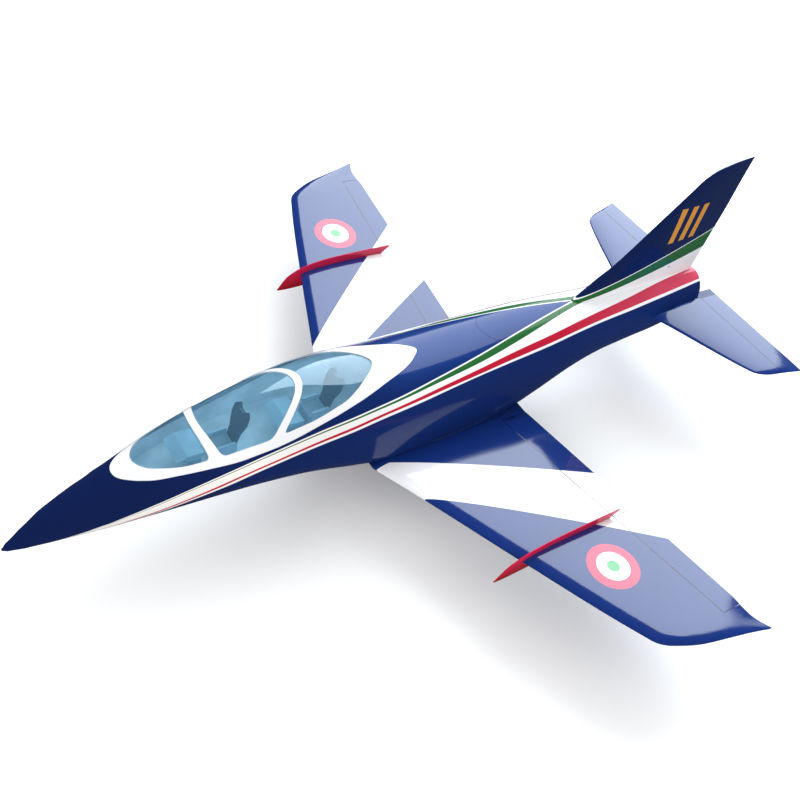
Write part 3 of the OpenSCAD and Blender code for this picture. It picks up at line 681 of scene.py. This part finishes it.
def gloss_paint(p, colour, coat=1.0, rough=0.16, ripple=0.0, coat_ior=1.5):
    """A clear-coated paint with faint cloudiness, dust and orange peel."""
    toned = p.node("HueSaturation")
    p.put(toned.inputs["Color"], colour)
    p.put(toned.inputs["Value"], p.span(p.noise(3.0, 4.0), 0.3, 0.7, 0.93, 1.05))
    dust = p.noise(160.0, 6.0, 0.65)
    p.set(Base_Color=toned.outputs[0], Coat_Weight=coat,
          Roughness=p.span(dust, 0.3, 0.75, rough, rough + 0.10),
          Coat_Roughness=p.span(p.noise(9.0, 4.0), 0.3, 0.7, 0.015, 0.05),
          Specular_IOR_Level=0.08, Coat_IOR=coat_ior)
    peel = p.noise(420.0, 2.0)
    if ripple:
        peel = p.math("ADD", peel, p.math("MULTIPLY", p.noise(14.0, 2.0), ripple))
    p.set(Coat_Normal=p.bump(peel, 0.10, 0.0004))
    return p.material


# fore and aft edge of the shadow line behind a hinge, and its softness, metres
HINGE_SHADOW = (0.0002, 0.0026, 0.0003)

# Painted lines along the fuselage, in degrees round the section above PAINT_LEVEL, a smooth line along
# the side. They start thin under the nose and end broad at the tail.
PAINT_LEVEL = [(1118, 30), (1075, 42), (955, 72), (775, 107), (654, 126), (530, 138), (404, 142),
               (-470, 142), (-720, 146), (-1025, 155)]
# station, foot of the white, foot and top of the red, foot and top of the green
PAINT_LINES = [
    (1118, -49, -46, -42, -30.5, -30), (950, -32, -29.5, -26, -11.2, -10.6),
    (740, -12, -9.4, -6.6, 3.8, 4.6), (550, 2, 4.6, 6.8, 15.4, 16.4), (350, 16.5, 19, 21.8, 28.6, 30.2),
    (100, 33, 36, 40, 46, 49.5), (-170, 40, 42.6, 50, 58, 66), (-480, 40, 43.6, 56, 80, 87.5),
    (-650, 39.5, 44.5, 62, 94, 102.5), (-840, 44, 50, 77, 108, 118), (-1030, 50, 56, 92, 120, 130)]
PIN = 1.6           # width of the thin white line over the green one, in degrees
LINE_SOFT = 0.35    # softness of the lines, in degrees
SHEEN_ANGLE, SHEEN_SOFT = 66.0, 22.0    # where the flanks pass into the painted sky reflection along the spine, in degrees


def angle_line(p, column):
    """Angle of one painted line at a station."""
    points = [(row[0] * MM, row[column]) for row in PAINT_LINES]
    return p.curve(p.x, points[-1][0], points[0][0], points)


def fuselage_paint():
    """Dark flanks and a spine painted paler as a sky reflection, with a white band along the side that
    holds a green and a red line; the white carries painted shade toward the nose, the red a painted sky
    reflection toward the tail.
    """
    p = Paint("painted_fuselage")
    turn = p.node("Attribute", attribute_name="girth").outputs["Fac"]
    white_low, red_low, red_top, green_low, green_top = (angle_line(p, k) for k in range(1, 6))
    side = p.mix(p.span(p.x, 0.2, 0.8, 0, 1), FLANK, NAVY)
    # painted reflection: the spine, aft of the canopy, is painted a paler blue as if it mirrored the sky
    painted_sheen = p.both(p.above(turn, SHEEN_ANGLE, SHEEN_SOFT), p.span(p.x, 0.3, 0.1, 0, 1))
    colour = p.mix(painted_sheen, side, SKY_SHEEN_BLUE)
    # painted shade: the white band is painted cream-grey toward the nose
    pale = p.mix(p.span(p.x, -0.10, 0.55, 0, 1), WHITE, SHADED_WHITE)
    colour = p.mix(p.band(turn, white_low, p.math("ADD", green_top, PIN), LINE_SOFT), colour, pale)
    colour = p.mix(p.band(turn, green_low, green_top, LINE_SOFT), colour, GREEN)
    # painted reflection: the red line is painted paler and pinker toward the tail, as if it mirrored the
    # sky
    red_with_sky_sheen = p.mix(p.span(p.x, -0.40, -0.85, 0, 1), RED, SKY_LIT_RED)
    colour = p.mix(p.band(turn, red_low, red_top, LINE_SOFT), colour, red_with_sky_sheen)
    return gloss_paint(p, colour, coat=0.5)


def station_attribute(obj):
    """Writes the angle round the section, in degrees, on each point, for the painted lines."""
    x, y, z = coordinates(obj.data).T / MM
    x = np.clip(x, TAIL_X, NOSE_X)
    w, middle, up = section(x)[:3]
    level = smooth_column(PAINT_LEVEL, x, 1)
    s = signed_power((z - level) / (middle + up - level), TOP_ROUND / 2)
    c = np.abs(y / w) ** (TOP_ROUND / 2)
    layer = obj.data.attributes.new("girth", "FLOAT", "POINT")
    layer.data.foreach_set("value", np.degrees(np.arctan2(s, c)).astype(np.float32))


# ---------- pieces ----------
def show(obj, body_name, material, node):
    """Puts a finished piece on its body, with its material, in place of the CAD node."""
    obj.data.materials.clear()
    obj.data.materials.append(material)
    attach(obj, body_name)
    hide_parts(node)


def show_pair(left, kind, material, moves=False):
    """Shows a left piece and its mirror image, on bodies of their own if they move."""
    right = mirrored(left, left.name.replace("left", "right"))
    for side, piece in (("left", left), ("right", right)):
        show(piece, f"{kind}_{side}" if moves else "airframe", material, f"{kind}_{side}")


def finish_panel(panel, noses, form, fittings=()):
    """Makes a slab behind a hinge line into a panel: the form's share of it, round noses, fittings."""
    boolean(panel, [form], "INTERSECT", keep=True)
    nose_forms = [copy_of(n, "nose_form") for n in noses]
    boolean(panel, noses, "UNION")
    boolean(panel, fittings, "UNION")
    shade(panel, [form, *nose_forms])
    drop(*nose_forms)


def fuselage_pieces():
    form = body("form", sides=128, pitch=9.0)
    inner_form = body("inner_form", SKIN, TAIL_X + SKIN, NOSE_X - 6, pitch=30.0, sides=64)
    shell = copy_of(form, "fuselage_skin")
    root = rib(WING, WING_TC, WING_ROOT)
    z = WING_Z + DIHEDRAL * WING_ROOT
    stub = loft("stub", [[(x, s * WING_ROOT, h + z) for x, h in root] for s in (-1, 1)])
    forms = [form, copy_of(stub, "stub_form")]
    tail_root = rib(STAB, STAB_TC, STAB_ROOT)
    tails = [loft("tail_stub", [[(x, s * y, h + STAB_Z) for x, h in tail_root] for y in (44, STAB_ROOT)])
             for s in (-1, 1)]
    forms += [copy_of(t, "tail_form") for t in tails]
    boolean(shell, [stub, *tails], "UNION")
    cutters = [inner_form,
               cone("pipe", (-1040, 0, JET_Z), (-980, 0, JET_Z), 41, 41),
               prism("lid", plan_outline(LID, -LID_GAP), *LID_CUT),
               prism("hatch", plan_outline(HATCH, -LID_GAP), *LID_CUT),
               rounded_box("nose_bay", (620, -17, -10), (843, 17, 60), 8)]
    for s in (-1, 1):
        y = s * INLET_Y
        cutters.append(rounded_box("inlet", (150, y - INLET_HALF, -10), (205, y + INLET_HALF, 40), 10))
        y = s * SLOT_Y
        cutters += [rounded_box("slot", (x, y - SLOT_HALF, 30), (x + SLOT_LENGTH, y + SLOT_HALF, 90), 5)
                    for x in SLOT_STATIONS]
    boolean(shell, cutters)
    shade(shell, forms)
    station_attribute(shell)
    paint = fuselage_paint()
    show(shell, "airframe", paint, "fuselage_shell")
    hatch = prism("rear_hatch_skin", plan_outline(HATCH, 0), *LID_CUT)
    boolean(hatch, [form], "INTERSECT", keep=True)
    boolean(hatch, [body("under", SKIN, -470, -95, over=5, pitch=20, sides=64)])
    shade(hatch, [form])
    station_attribute(hatch)
    show(hatch, "rear_hatch", paint, "rear_hatch")
    canopy_pieces(form)
    drop(*forms)


def frame_paint():
    p = Paint("canopy_frame_white")
    return gloss_paint(p, p.mix(p.noise(2.0), WHITE, (0.80, 0.80, 0.83)), rough=0.2)


def canopy_pieces(form):
    ring = prism("canopy_frame_skin", plan_outline(LID, 0), *LID_CUT)
    boolean(ring, [form], "INTERSECT", keep=True)
    boolean(ring, [body("under", SKIN, *UNDER_LID, over=5, pitch=14)])
    boolean(ring, [prism("pane", outline, 100, 520) for outline in pane_outlines()])
    shade(ring, [form])
    show(ring, "canopy", frame_paint(), "canopy_frame")
    glass_form = body("glass_form", GLASS_SUNK, *UNDER_LID, pitch=9, sides=128)
    glass = prism("canopy_glazing", plan_outline(LID, GLASS_EDGE), *LID_CUT)
    boolean(glass, [glass_form], "INTERSECT", keep=True)
    under = body("under", GLASS_SUNK + GLASS, *UNDER_LID, over=5, pitch=9, sides=128)
    boolean(glass, [under], keep=True)
    shade(glass, [glass_form, under])
    drop(glass_form, under)
    show(glass, "canopy", glazing(), "canopy_glass")


HAZE_SHARE = 0.075                      # share of pale blue haze in the glazing
FACE_SHINE, EDGE_SHINE = 0.045, 0.795   # share of reflection seen square on and edge on


def glazing():
    """Blue-tinted clear plastic that lets the light through, with faint streaks."""
    p = Paint("tinted_glazing")
    tint = p.mix(p.noise(5.0, 3.0), (0.83, 0.95, 1.0), (0.88, 0.97, 1.0))
    clear, film = p.node("BsdfTransparent"), p.node("BsdfDiffuse")
    shine, facing = p.node("BsdfGlossy"), p.node("LayerWeight")
    p.put(clear.inputs["Color"], tint)
    p.put(film.inputs["Color"], (0.26, 0.60, 0.92))
    p.put(shine.inputs["Color"], (0.95, 0.98, 1.0))
    p.put(shine.inputs["Roughness"], p.span(p.noise(12.0), 0.3, 0.7, 0.02, 0.05))
    p.put(facing.inputs["Blend"], 0.5)
    edge = p.math("POWER", facing.outputs["Facing"], 4.0)
    share = p.math("MULTIPLY_ADD", edge, EDGE_SHINE - FACE_SHINE, FACE_SHINE)
    p.put(p.out.inputs[0], p.blend(share, p.blend(HAZE_SHARE, clear, film), shine).outputs[0])
    return p.material


# edges of the white band of the wings: station and span at the nose, then at the tail, metres
BAND_INNER, BAND_OUTER = (0.1925, 0.157, -0.3031, 0.4244), (0.1705, 0.297, -0.3260, 0.6865)
MARK_X, MARK_Y = -0.1211, 0.6864
MARK_RINGS = [(0.0677, PALE_RED), (0.0430, WHITE), (0.0165, MARK_GREEN)]


def wing_paint():
    """Navy film with a white band, a round mark and shadowed hinge lines, the same on both sides."""
    p = Paint("wing_film")
    y = p.math("ABSOLUTE", p.y)
    inner, outer = (p.span(p.x, x0, x1, y0, y1) for x0, y0, x1, y1 in (BAND_INNER, BAND_OUTER))
    stripe = p.both(p.above(p.math("SUBTRACT", y, inner), 0.0), p.below(p.math("SUBTRACT", y, outer), 0.0))
    colour = p.mix(stripe, FILM, WHITE)
    far = p.away(p.x, MARK_X, y, MARK_Y)
    top = p.above(p.z, p.math("MULTIPLY_ADD", y, DIHEDRAL, WING_Z * MM))
    for radius, ink in MARK_RINGS:
        colour = p.mix(p.both(p.below(far, radius), top), colour, ink)
    hinge = p.span(y, 0.0, 1.0, wing_hinge(0) * MM, wing_hinge(1000) * MM)
    line = p.band(p.math("SUBTRACT", p.x, hinge), *HINGE_SHADOW)
    moving = p.band(y, WING_INNER * MM, 0.9146)
    # painted shadow: a near-black line along the hinge of the aileron and flap
    colour = p.mix(p.both(line, moving), colour, INK_AND_SHADOW)
    return gloss_paint(p, colour, ripple=2.0, coat_ior=1.66)


def gear_cutters():
    """Wheel, leg and pivot bays of the left wing, open to its underside."""
    wheel = MAIN_WHEEL / 2 + 3
    made = [cone("wheel_bay", (0, -MAIN_LEG, -40), (0, -MAIN_LEG, 10.4), wheel, wheel),
            box("leg_bay", (-10, -MAIN_LEG - 10, -40), (10, -MAIN_LEG + 100, 14)),
            box("leg_slot", (-12, -MAIN_LEG, -40), (12, 10, 8)),
            box("pivot_bay", (-21, -17, -40), (21, 23, 12))]
    for cutter in made:
        cutter.data.transform(on_gear())
    return made


def servo_cutters():
    """Bays of the aileron servo and its arm, and the slot that its horn moves in."""
    horn = on_line(SERVO_Y)
    servo = horn @ Matrix.Translation(Vector((SERVO_X, 0, 0)) * MM)
    return [box("servo_bay", (-17, -23, -30), (15, 7, 7), servo),
            box("arm_bay", (-9, 6, -30), (9, 14, 7), servo),
            box("horn_slot", (-2, 4.5, -30), (9, 13, 0), horn)]


def wing_pieces():
    paint = wing_paint()
    form = surface("wing_form", WING, WING_TC, WING_BEND, wing_place)
    wing = copy_of(form, "wing_skin_left")
    cove = WING_COVE
    boolean(wing, [body("body_form", -ROOT_GAP, -345, 280, over=10, pitch=20),
                   wing_aft("aft", *cove), wing_nose(*cove, COVE_GAP),
                   box("relief", (-1, 0, -22), (5, FLAP_RELIEF, -2), on_line(cove[0])),
                   *gear_cutters(), *servo_cutters(),
                   cone("joiner", (JOINER_X, 140, JOINER_Z), (JOINER_X, 292, JOINER_Z), JOINER_BORE,
                        JOINER_BORE)])
    shade(wing, [form])
    aileron = wing_aft("aileron_skin_left", *AILERON_SPAN)
    finish_panel(aileron, [wing_nose(*AILERON_SPAN, 0)], form, horn_parts())
    flap = wing_aft("flap_skin_left", *FLAP_SPAN)
    finish_panel(flap, [wing_nose(*FLAP_SPAN, 0)], form)
    fence = fence_piece(form)
    show_pair(wing, "wing", paint)
    show_pair(aileron, "aileron", paint, moves=True)
    show_pair(flap, "flap", paint, moves=True)
    show_pair(fence, "fence", fence_paint())
    drop(form)


def horn_parts():
    """Plate and pin that the pushrod moves the left aileron by."""
    plate = prism("horn", [(3, 0), (-16, 0), (-13, -8), (-2, -ARM - 3), (3.5, -ARM - 1)], 6, 8.5, "y")
    pin = cone("horn_pin", (0, 8.4, -ARM), (0, 12, -ARM), 1, 1, 24)
    for part in (plate, pin):
        part.data.transform(on_line(SERVO_Y))
    return [plate, pin]


# station and height of the blade's edge, from its nose over the top and back under the wing
FENCE = [(143, 31), (140, 40), (133, 51), (117, 72), (95, 87), (71, 97), (39, 105), (-9, 110.5),
         (-59, 111.5), (-110, 111), (-162, 109.5), (-205, 107), (-250, 104), (-227, 82), (-214, 68),
         (-130, 50), (-60, 38), (0, 30), (59, 27), (108, 27)]
FENCE_Y, FENCE_T = 564.8, 2.4


def fence_piece(wing_form):
    """A thin blade that wraps the wing's nose, rounded along its free edge."""
    outline = closed_curve(FENCE, 5)
    inward = np.roll(outline, -1, 0) - np.roll(outline, 1, 0)
    inward = np.column_stack([-inward[:, 1], inward[:, 0]])
    inward /= np.linalg.norm(inward, axis=1)[:, None]
    if np.dot(inward[0], outline.mean(0) - outline[0]) < 0:
        inward = -inward
    middle, half = FENCE_Y + FENCE_T / 2, FENCE_T / 2
    rings = []
    for t in np.linspace(-90, 90, 9):
        s, c = math.sin(math.radians(t)), math.cos(math.radians(t))
        edge = outline + inward * half * (1 - c)
        rings.append([(x, middle + half * s, z) for x, z in edge])
    blade = loft("fence_blade_left", rings)
    boolean(blade, [wing_form], keep=True)
    smooth_out(blade.data, 35)
    return blade


def fence_paint():
    p = Paint("fence_red_gloss")
    # painted light and shade: the blade is painted dark red at its foot by the wing and a paler, pinker red
    # toward its top edge
    height = p.span(p.z, 0.03, 0.10, 0, 1)
    return gloss_paint(p, p.mix(height, (0.34, 0.005, 0.008), (0.66, 0.018, 0.075)), coat=0.5)


# spans of the elevator's hinge blocks, and half their depth, metres
HINGE_BLOCKS, BLOCK_HALF = (0.115, 0.254, 0.386), 0.0042


def stab_paint():
    """Navy film with the elevator's shadow line, the root joint and three dark hinge blocks."""
    p = Paint("tailplane_film")
    y = p.math("ABSOLUTE", p.y)
    colour = p.mix(p.noise(2.4), FILM, (0.0072, 0.0300, 0.185))
    line = p.band(p.math("SUBTRACT", p.x, STAB_HINGE * MM), *HINGE_SHADOW)
    # painted shadow: a near-black line along the elevator's hinge
    colour = p.mix(p.both(line, p.above(y, STAB_COVE_IN * MM)), colour, INK_AND_SHADOW)
    colour = p.mix(p.below(y, 0.0712, SPOT / 2), colour, INK_AND_SHADOW)
    for at in HINGE_BLOCKS:
        dy, dx = p.math("SUBTRACT", y, at), p.math("SUBTRACT", p.x, (STAB_HINGE + 1.5) * MM)
        far = p.math("MAXIMUM", p.math("ABSOLUTE", dy), p.math("MULTIPLY", p.math("ABSOLUTE", dx), 1.4))
        colour = p.mix(p.below(far, BLOCK_HALF), colour, INK_AND_SHADOW)
    return gloss_paint(p, colour, ripple=2.0)


def stab_noses(inner, gap):
    """The round nose of the elevator from its inner end, in three lengths that follow the skin."""
    return [cone("stab_nose", (STAB_HINGE, a, STAB_Z), (STAB_HINGE, b, STAB_Z),
                 *(nose_radius(STAB, STAB_TC, max(y, STAB_ROOT), STAB_HINGE, gap) for y in (a, b)))
            for a, b in ((inner, 366), (366, 402), (402, 418))]


def tail_block(name, y0, y1, x1=STAB_HINGE):
    """A block over the tailplane's height, from behind it up to a station."""
    return box(name, (-1200, y0, STAB_Z - 30), (x1, y1, STAB_Z + 30))


def tail_pieces():
    paint = stab_paint()
    form = surface("stab_form", STAB, STAB_TC, STAB_BEND, stab_place)
    stab = copy_of(form, "tailplane_skin_left")
    boolean(stab, [body("body_form", -ROOT_GAP, TAIL_X, -720, over=4, pitch=16),
                   tail_block("aft", STAB_COVE_IN, 471), *stab_noses(STAB_COVE_IN, COVE_GAP),
                   tail_block("tip", 417, 477, STAB_HINGE + 2.8)])
    shade(stab, [form])
    elevator = tail_block("elevator_skin_left", ELEVATOR_IN, 472)
    finish_panel(elevator, stab_noses(ELEVATOR_IN, 0), form)
    show_pair(stab, "stab", paint)
    show_pair(elevator, "elevator", paint, moves=True)
    drop(form)


# edges of the green band of the fin: station and height at its nose, then at its tail, metres
GREEN_TOP, GREEN_FOOT = (-0.4725, 0.266, -1.020, 0.400), (-0.500, 0.262, -1.014, 0.333)
FIN_PIN = 0.0035    # width of the thin white line over the green band
BARS, BAR_HALF, BAR_LOW, BAR_HIGH = (-0.812, -0.858, -0.904), 0.0115, 0.402, 0.522
SCREW_X, SCREW_Z, SCREW_R = -0.8686, 0.2975, 0.003


def fin_paint():
    """Navy with amber bars over a green band and a white foot, and a screw head near the foot."""
    p = Paint("fin_film")
    top, low = (p.span(p.x, x0, x1, z0, z1) for x0, z0, x1, z1 in (GREEN_TOP, GREEN_FOOT))
    colour = p.mix(p.noise(2.0), NAVY, (0.0036, 0.0130, 0.075))
    colour = p.mix(p.below(p.z, p.math("ADD", top, FIN_PIN)), colour, WHITE)
    colour = p.mix(p.band(p.z, low, top), colour, GREEN)
    tall = p.band(p.z, BAR_LOW, BAR_HIGH)
    for centre in BARS:
        colour = p.mix(p.both(p.band(p.x, centre - BAR_HALF, centre + BAR_HALF), tall), colour, AMBER)
    far = p.away(p.x, SCREW_X, p.z, SCREW_Z)
    colour = p.mix(p.below(far, SCREW_R), colour, (0.12, 0.12, 0.13))
    return gloss_paint(p, colour)


def fin_nose(z0, z1, gap):
    r = [nose_radius(FIN, FIN_TC, z, fin_hinge(z), gap) for z in (z0, z1)]
    return cone("fin_nose", (fin_hinge(z0), 0, z0), (fin_hinge(z1), 0, z1), *r)


def fin_aft(name, z0, z1):
    """Slab behind the fin's hinge line between two heights."""
    outline = [(fin_hinge(z0), z0), (fin_hinge(z1), z1), (-1100, z1), (-1100, z0)]
    return prism(name, outline, -40, 40, "y")


def fin_pieces():
    paint = fin_paint()
    form = surface("fin_form", FIN, FIN_TC, FIN_BEND, fin_place)
    fin = copy_of(form, "fin_skin")
    foot, head = RUDDER_SPAN
    boolean(fin, [fin_aft("aft", foot - 1, head + 1), fin_nose(foot - 1.6, head + 1.6, COVE_GAP),
                  body("body_form", -ROOT_GAP, TAIL_X, -345, over=4, sides=128)])
    shade(fin, [form])
    rudder = fin_aft("rudder_skin", foot, head)
    finish_panel(rudder, [fin_nose(foot, head, 0)], form)
    show(fin, "airframe", paint, "fin")
    show(rudder, "rudder", paint, "rudder")
    drop(form)


# ---------- CAD pieces that stay ----------
def plain(name, colour, rough, metal=0.0, bump=0.15, grain=240.0, stretch=None):
    """A worn everyday surface: colour drift, fine grain and uneven gloss."""
    p = Paint(name)
    where = p.stretched(stretch) if stretch else p.place
    fine = p.noise(grain, 5.0, 0.6, where)
    broad = p.noise(18.0, 3.0, 0.5, where)
    dark = tuple(c * 0.72 for c in colour)
    p.set(Base_Color=p.mix(p.span(broad, 0.3, 0.7, 0, 1), dark, colour), Metallic=metal,
          Roughness=p.span(fine, 0.3, 0.7, max(rough - 0.08, 0.03), rough + 0.1),
          Normal=p.bump(fine, bump, 0.0005))
    return p.material


def wood(name, pale, dark):
    """Plywood: long grain with rings drawn out along the span."""
    p = Paint(name)
    rings = p.noise(3.0, 6.0, 0.6, p.stretched((40, 3, 30)))
    p.set(Base_Color=p.mix(p.span(rings, 0.35, 0.65, 0, 1), dark, pale), Roughness=0.62,
          Normal=p.bump(rings, 0.2, 0.0006))
    return p.material


# height of each cushion's top, and the arm rests' inner side and rise over it, metres
CUSHION_TOPS = {"seat_front": 0.158, "seat_rear": 0.174}
ARM_REST_Y, ARM_REST_RISE = 0.0225, 0.0125


def seat_paint(name, cushion_top):
    """Near-black seat back over a pale plinth and arm rests."""
    p = Paint(name)
    beside = p.both(p.above(p.math("ABSOLUTE", p.y), ARM_REST_Y), p.below(p.z, cushion_top + ARM_REST_RISE))
    back = p.both(p.above(p.z, cushion_top), p.math("SUBTRACT", 1.0, beside))
    grain = p.noise(320.0, 5.0, 0.6)
    pale = p.mix(p.noise(18.0), (0.36, 0.50, 0.60), (0.44, 0.58, 0.67))
    dark = p.mix(p.noise(18.0), (0.014, 0.016, 0.020), (0.020, 0.022, 0.027))
    p.set(Base_Color=p.mix(back, pale, dark), Roughness=p.span(grain, 0.3, 0.7, 0.47, 0.65),
          Normal=p.bump(grain, 0.3, 0.0005))
    return p.material


def dress(starts, material):
    """Gives the CAD nodes whose names start like this their material."""
    for obj in (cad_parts[n] for n in sorted(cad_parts) if n.startswith(tuple(starts.split()))):
        obj.data.materials.clear()
        obj.data.materials.append(material)
        smooth_out(obj.data, 30)


# how the nodes' names start, material, colour, roughness, then metal, bump, grain and stretch if unlike
PLAIN_PARTS = [
    ("nose_strut main_strut nose_retract main_retract",
     "gear_alloy", (0.62, 0.63, 0.66), 0.30, 1.0, 0.08, 240.0, (1, 1, 6)),
    ("nose_hub main_hub", "hub_alloy", (0.72, 0.73, 0.75), 0.26, 1.0, 0.05),
    ("nose_tyre main_tyre", "tyre_rubber", (0.025, 0.025, 0.027), 0.78, 0.0, 0.35, 500.0),
    ("servo_left servo_right", "servo_case", (0.02, 0.021, 0.024), 0.42),
    ("servo_arm", "arm_nylon", (0.74, 0.74, 0.71), 0.45),
    ("pushrod wing_bolts", "rod_steel", (0.55, 0.56, 0.58), 0.28, 1.0, 0.05),
    ("wing_tube stab_pins", "tube_alloy", (0.70, 0.71, 0.73), 0.24, 1.0, 0.05, 240.0, (8, 1, 8)),
    ("turbine_case", "case_alloy", (0.68, 0.69, 0.72), 0.30, 1.0, 0.06),
    ("turbine_rotor", "rotor_steel", (0.48, 0.46, 0.43), 0.34, 1.0, 0.08),
    ("thrust_tube", "pipe_steel", (0.60, 0.55, 0.48), 0.30, 1.0, 0.06, 240.0, (6, 1, 1)),
    ("fuel_tank", "tank_kevlar", (0.66, 0.58, 0.30), 0.38, 0.0, 0.2, 300.0),
    ("battery", "cell_wrap", (0.03, 0.06, 0.26), 0.30),
    ("receiver", "receiver_case", (0.03, 0.03, 0.034), 0.5),
    ("cockpit_tub", "tub_paint", (0.84, 0.92, 0.96), 0.5, 0.0, 0.1),
    ("panel", "panel_grey", (0.34, 0.47, 0.56), 0.5, 0.0, 0.2)]


def small_parts():
    for starts, *look in PLAIN_PARTS:
        dress(starts, plain(*look))
    dress("nose_door main_door", gloss_paint(Paint("door_navy"), NAVY))
    dress("nose_former main_former rear_former tail_former turbine_rails",
          wood("plywood", (0.62, 0.45, 0.26), (0.42, 0.28, 0.14)))
    for seat, cushion_top in CUSHION_TOPS.items():
        dress(seat, seat_paint(f"{seat}_paint", cushion_top))


# ---------- scene ----------
LENS = 40.95                                # focal length, in millimetres of a 36 mm sensor
CAMERA_PLACE = (1.2666, 1.2516, 1.8577)
CAMERA_TURNS = (136.16, 45.73, -15.53)      # azimuth, elevation and roll, degrees


def camera():
    data = bpy.data.cameras.new("view")
    data.sensor_width, data.lens = 36.0, LENS
    data.clip_start, data.clip_end = 0.05, 60
    cam = linked(bpy.data.objects.new("view", data))
    azimuth, elevation, roll = (math.radians(a) for a in CAMERA_TURNS)
    cam.matrix_world = (Matrix.Translation(CAMERA_PLACE) @ Matrix.Rotation(azimuth, 4, "Z")
                        @ Matrix.Rotation(math.pi / 2 - elevation, 4, "X") @ Matrix.Rotation(-roll, 4, "Z"))
    bpy.context.scene.camera = cam


def area_light(name, place, target, size, power, colour=(1, 1, 1)):
    data = bpy.data.lights.new(name, "AREA")
    data.shape, data.size, data.size_y = "RECTANGLE", *size
    data.energy, data.color = power, colour
    lamp = linked(bpy.data.objects.new(name, data))
    lamp.location = place
    lamp.rotation_mode = "QUATERNION"
    lamp.rotation_quaternion = (Vector(target) - Vector(place)).to_track_quat("-Z", "Y")
    return lamp


FLOOR_HALF = 30000
SKY_COLOUR, SKY_WATTS, FILL_WATTS = (0.88, 0.97, 1.04), 350, 100
PALE_SKY, DIM_SKY = ((1, 1, 1, 1), 0.95), ((0.30, 0.36, 0.50, 1), 0.16)     # colour and strength


def studio():
    """A pale floor, a broad soft light, a softer fill, and a sky that glossy rays see dimmed."""
    corners = [(x * FLOOR_HALF, y * FLOOR_HALF, 0) for x, y in ((-1, -1), (1, -1), (1, 1), (-1, 1))]
    floor = new_object("floor", corners, [[0, 1, 2, 3]], False)
    floor.location.z = FLOOR_Z * MM
    p = Paint("floor_pale")
    p.set(Base_Color=p.mix(p.noise(0.8, 2.0), (0.93, 0.93, 0.93), (0.95, 0.95, 0.95)), Roughness=0.8,
          Specular_IOR_Level=0.1)
    floor.data.materials.append(p.material)
    floor.visible_glossy = False
    area_light("sky_panel", (-3.3, -2.6, 3.7), (-0.1, 0, 0), (5.2, 5.2), SKY_WATTS, SKY_COLOUR)
    fill = area_light("front_fill", (4.5, 3.5, 4.5), (0, 0, 0), (2.5, 2.5), FILL_WATTS)
    fill.visible_glossy = False
    world = bpy.data.worlds.new("studio")
    world.use_nodes = True
    tree = world.node_tree
    tree.nodes.clear()
    out, pick, path = (tree.nodes.new("ShaderNode" + k) for k in ("OutputWorld", "MixShader", "LightPath"))
    tree.links.new(path.outputs["Is Glossy Ray"], pick.inputs[0])
    for socket, sky in zip(pick.inputs[1:], (PALE_SKY, DIM_SKY)):
        background = tree.nodes.new("ShaderNodeBackground")
        background.inputs[0].default_value, background.inputs[1].default_value = sky
        tree.links.new(background.outputs[0], socket)
    tree.links.new(pick.outputs[0], out.inputs[0])
    bpy.context.scene.world = world
    bpy.context.scene.view_settings.view_transform = "Standard"


camera()
studio()
fuselage_pieces()
wing_pieces()
tail_pieces()
fin_pieces()
small_parts()
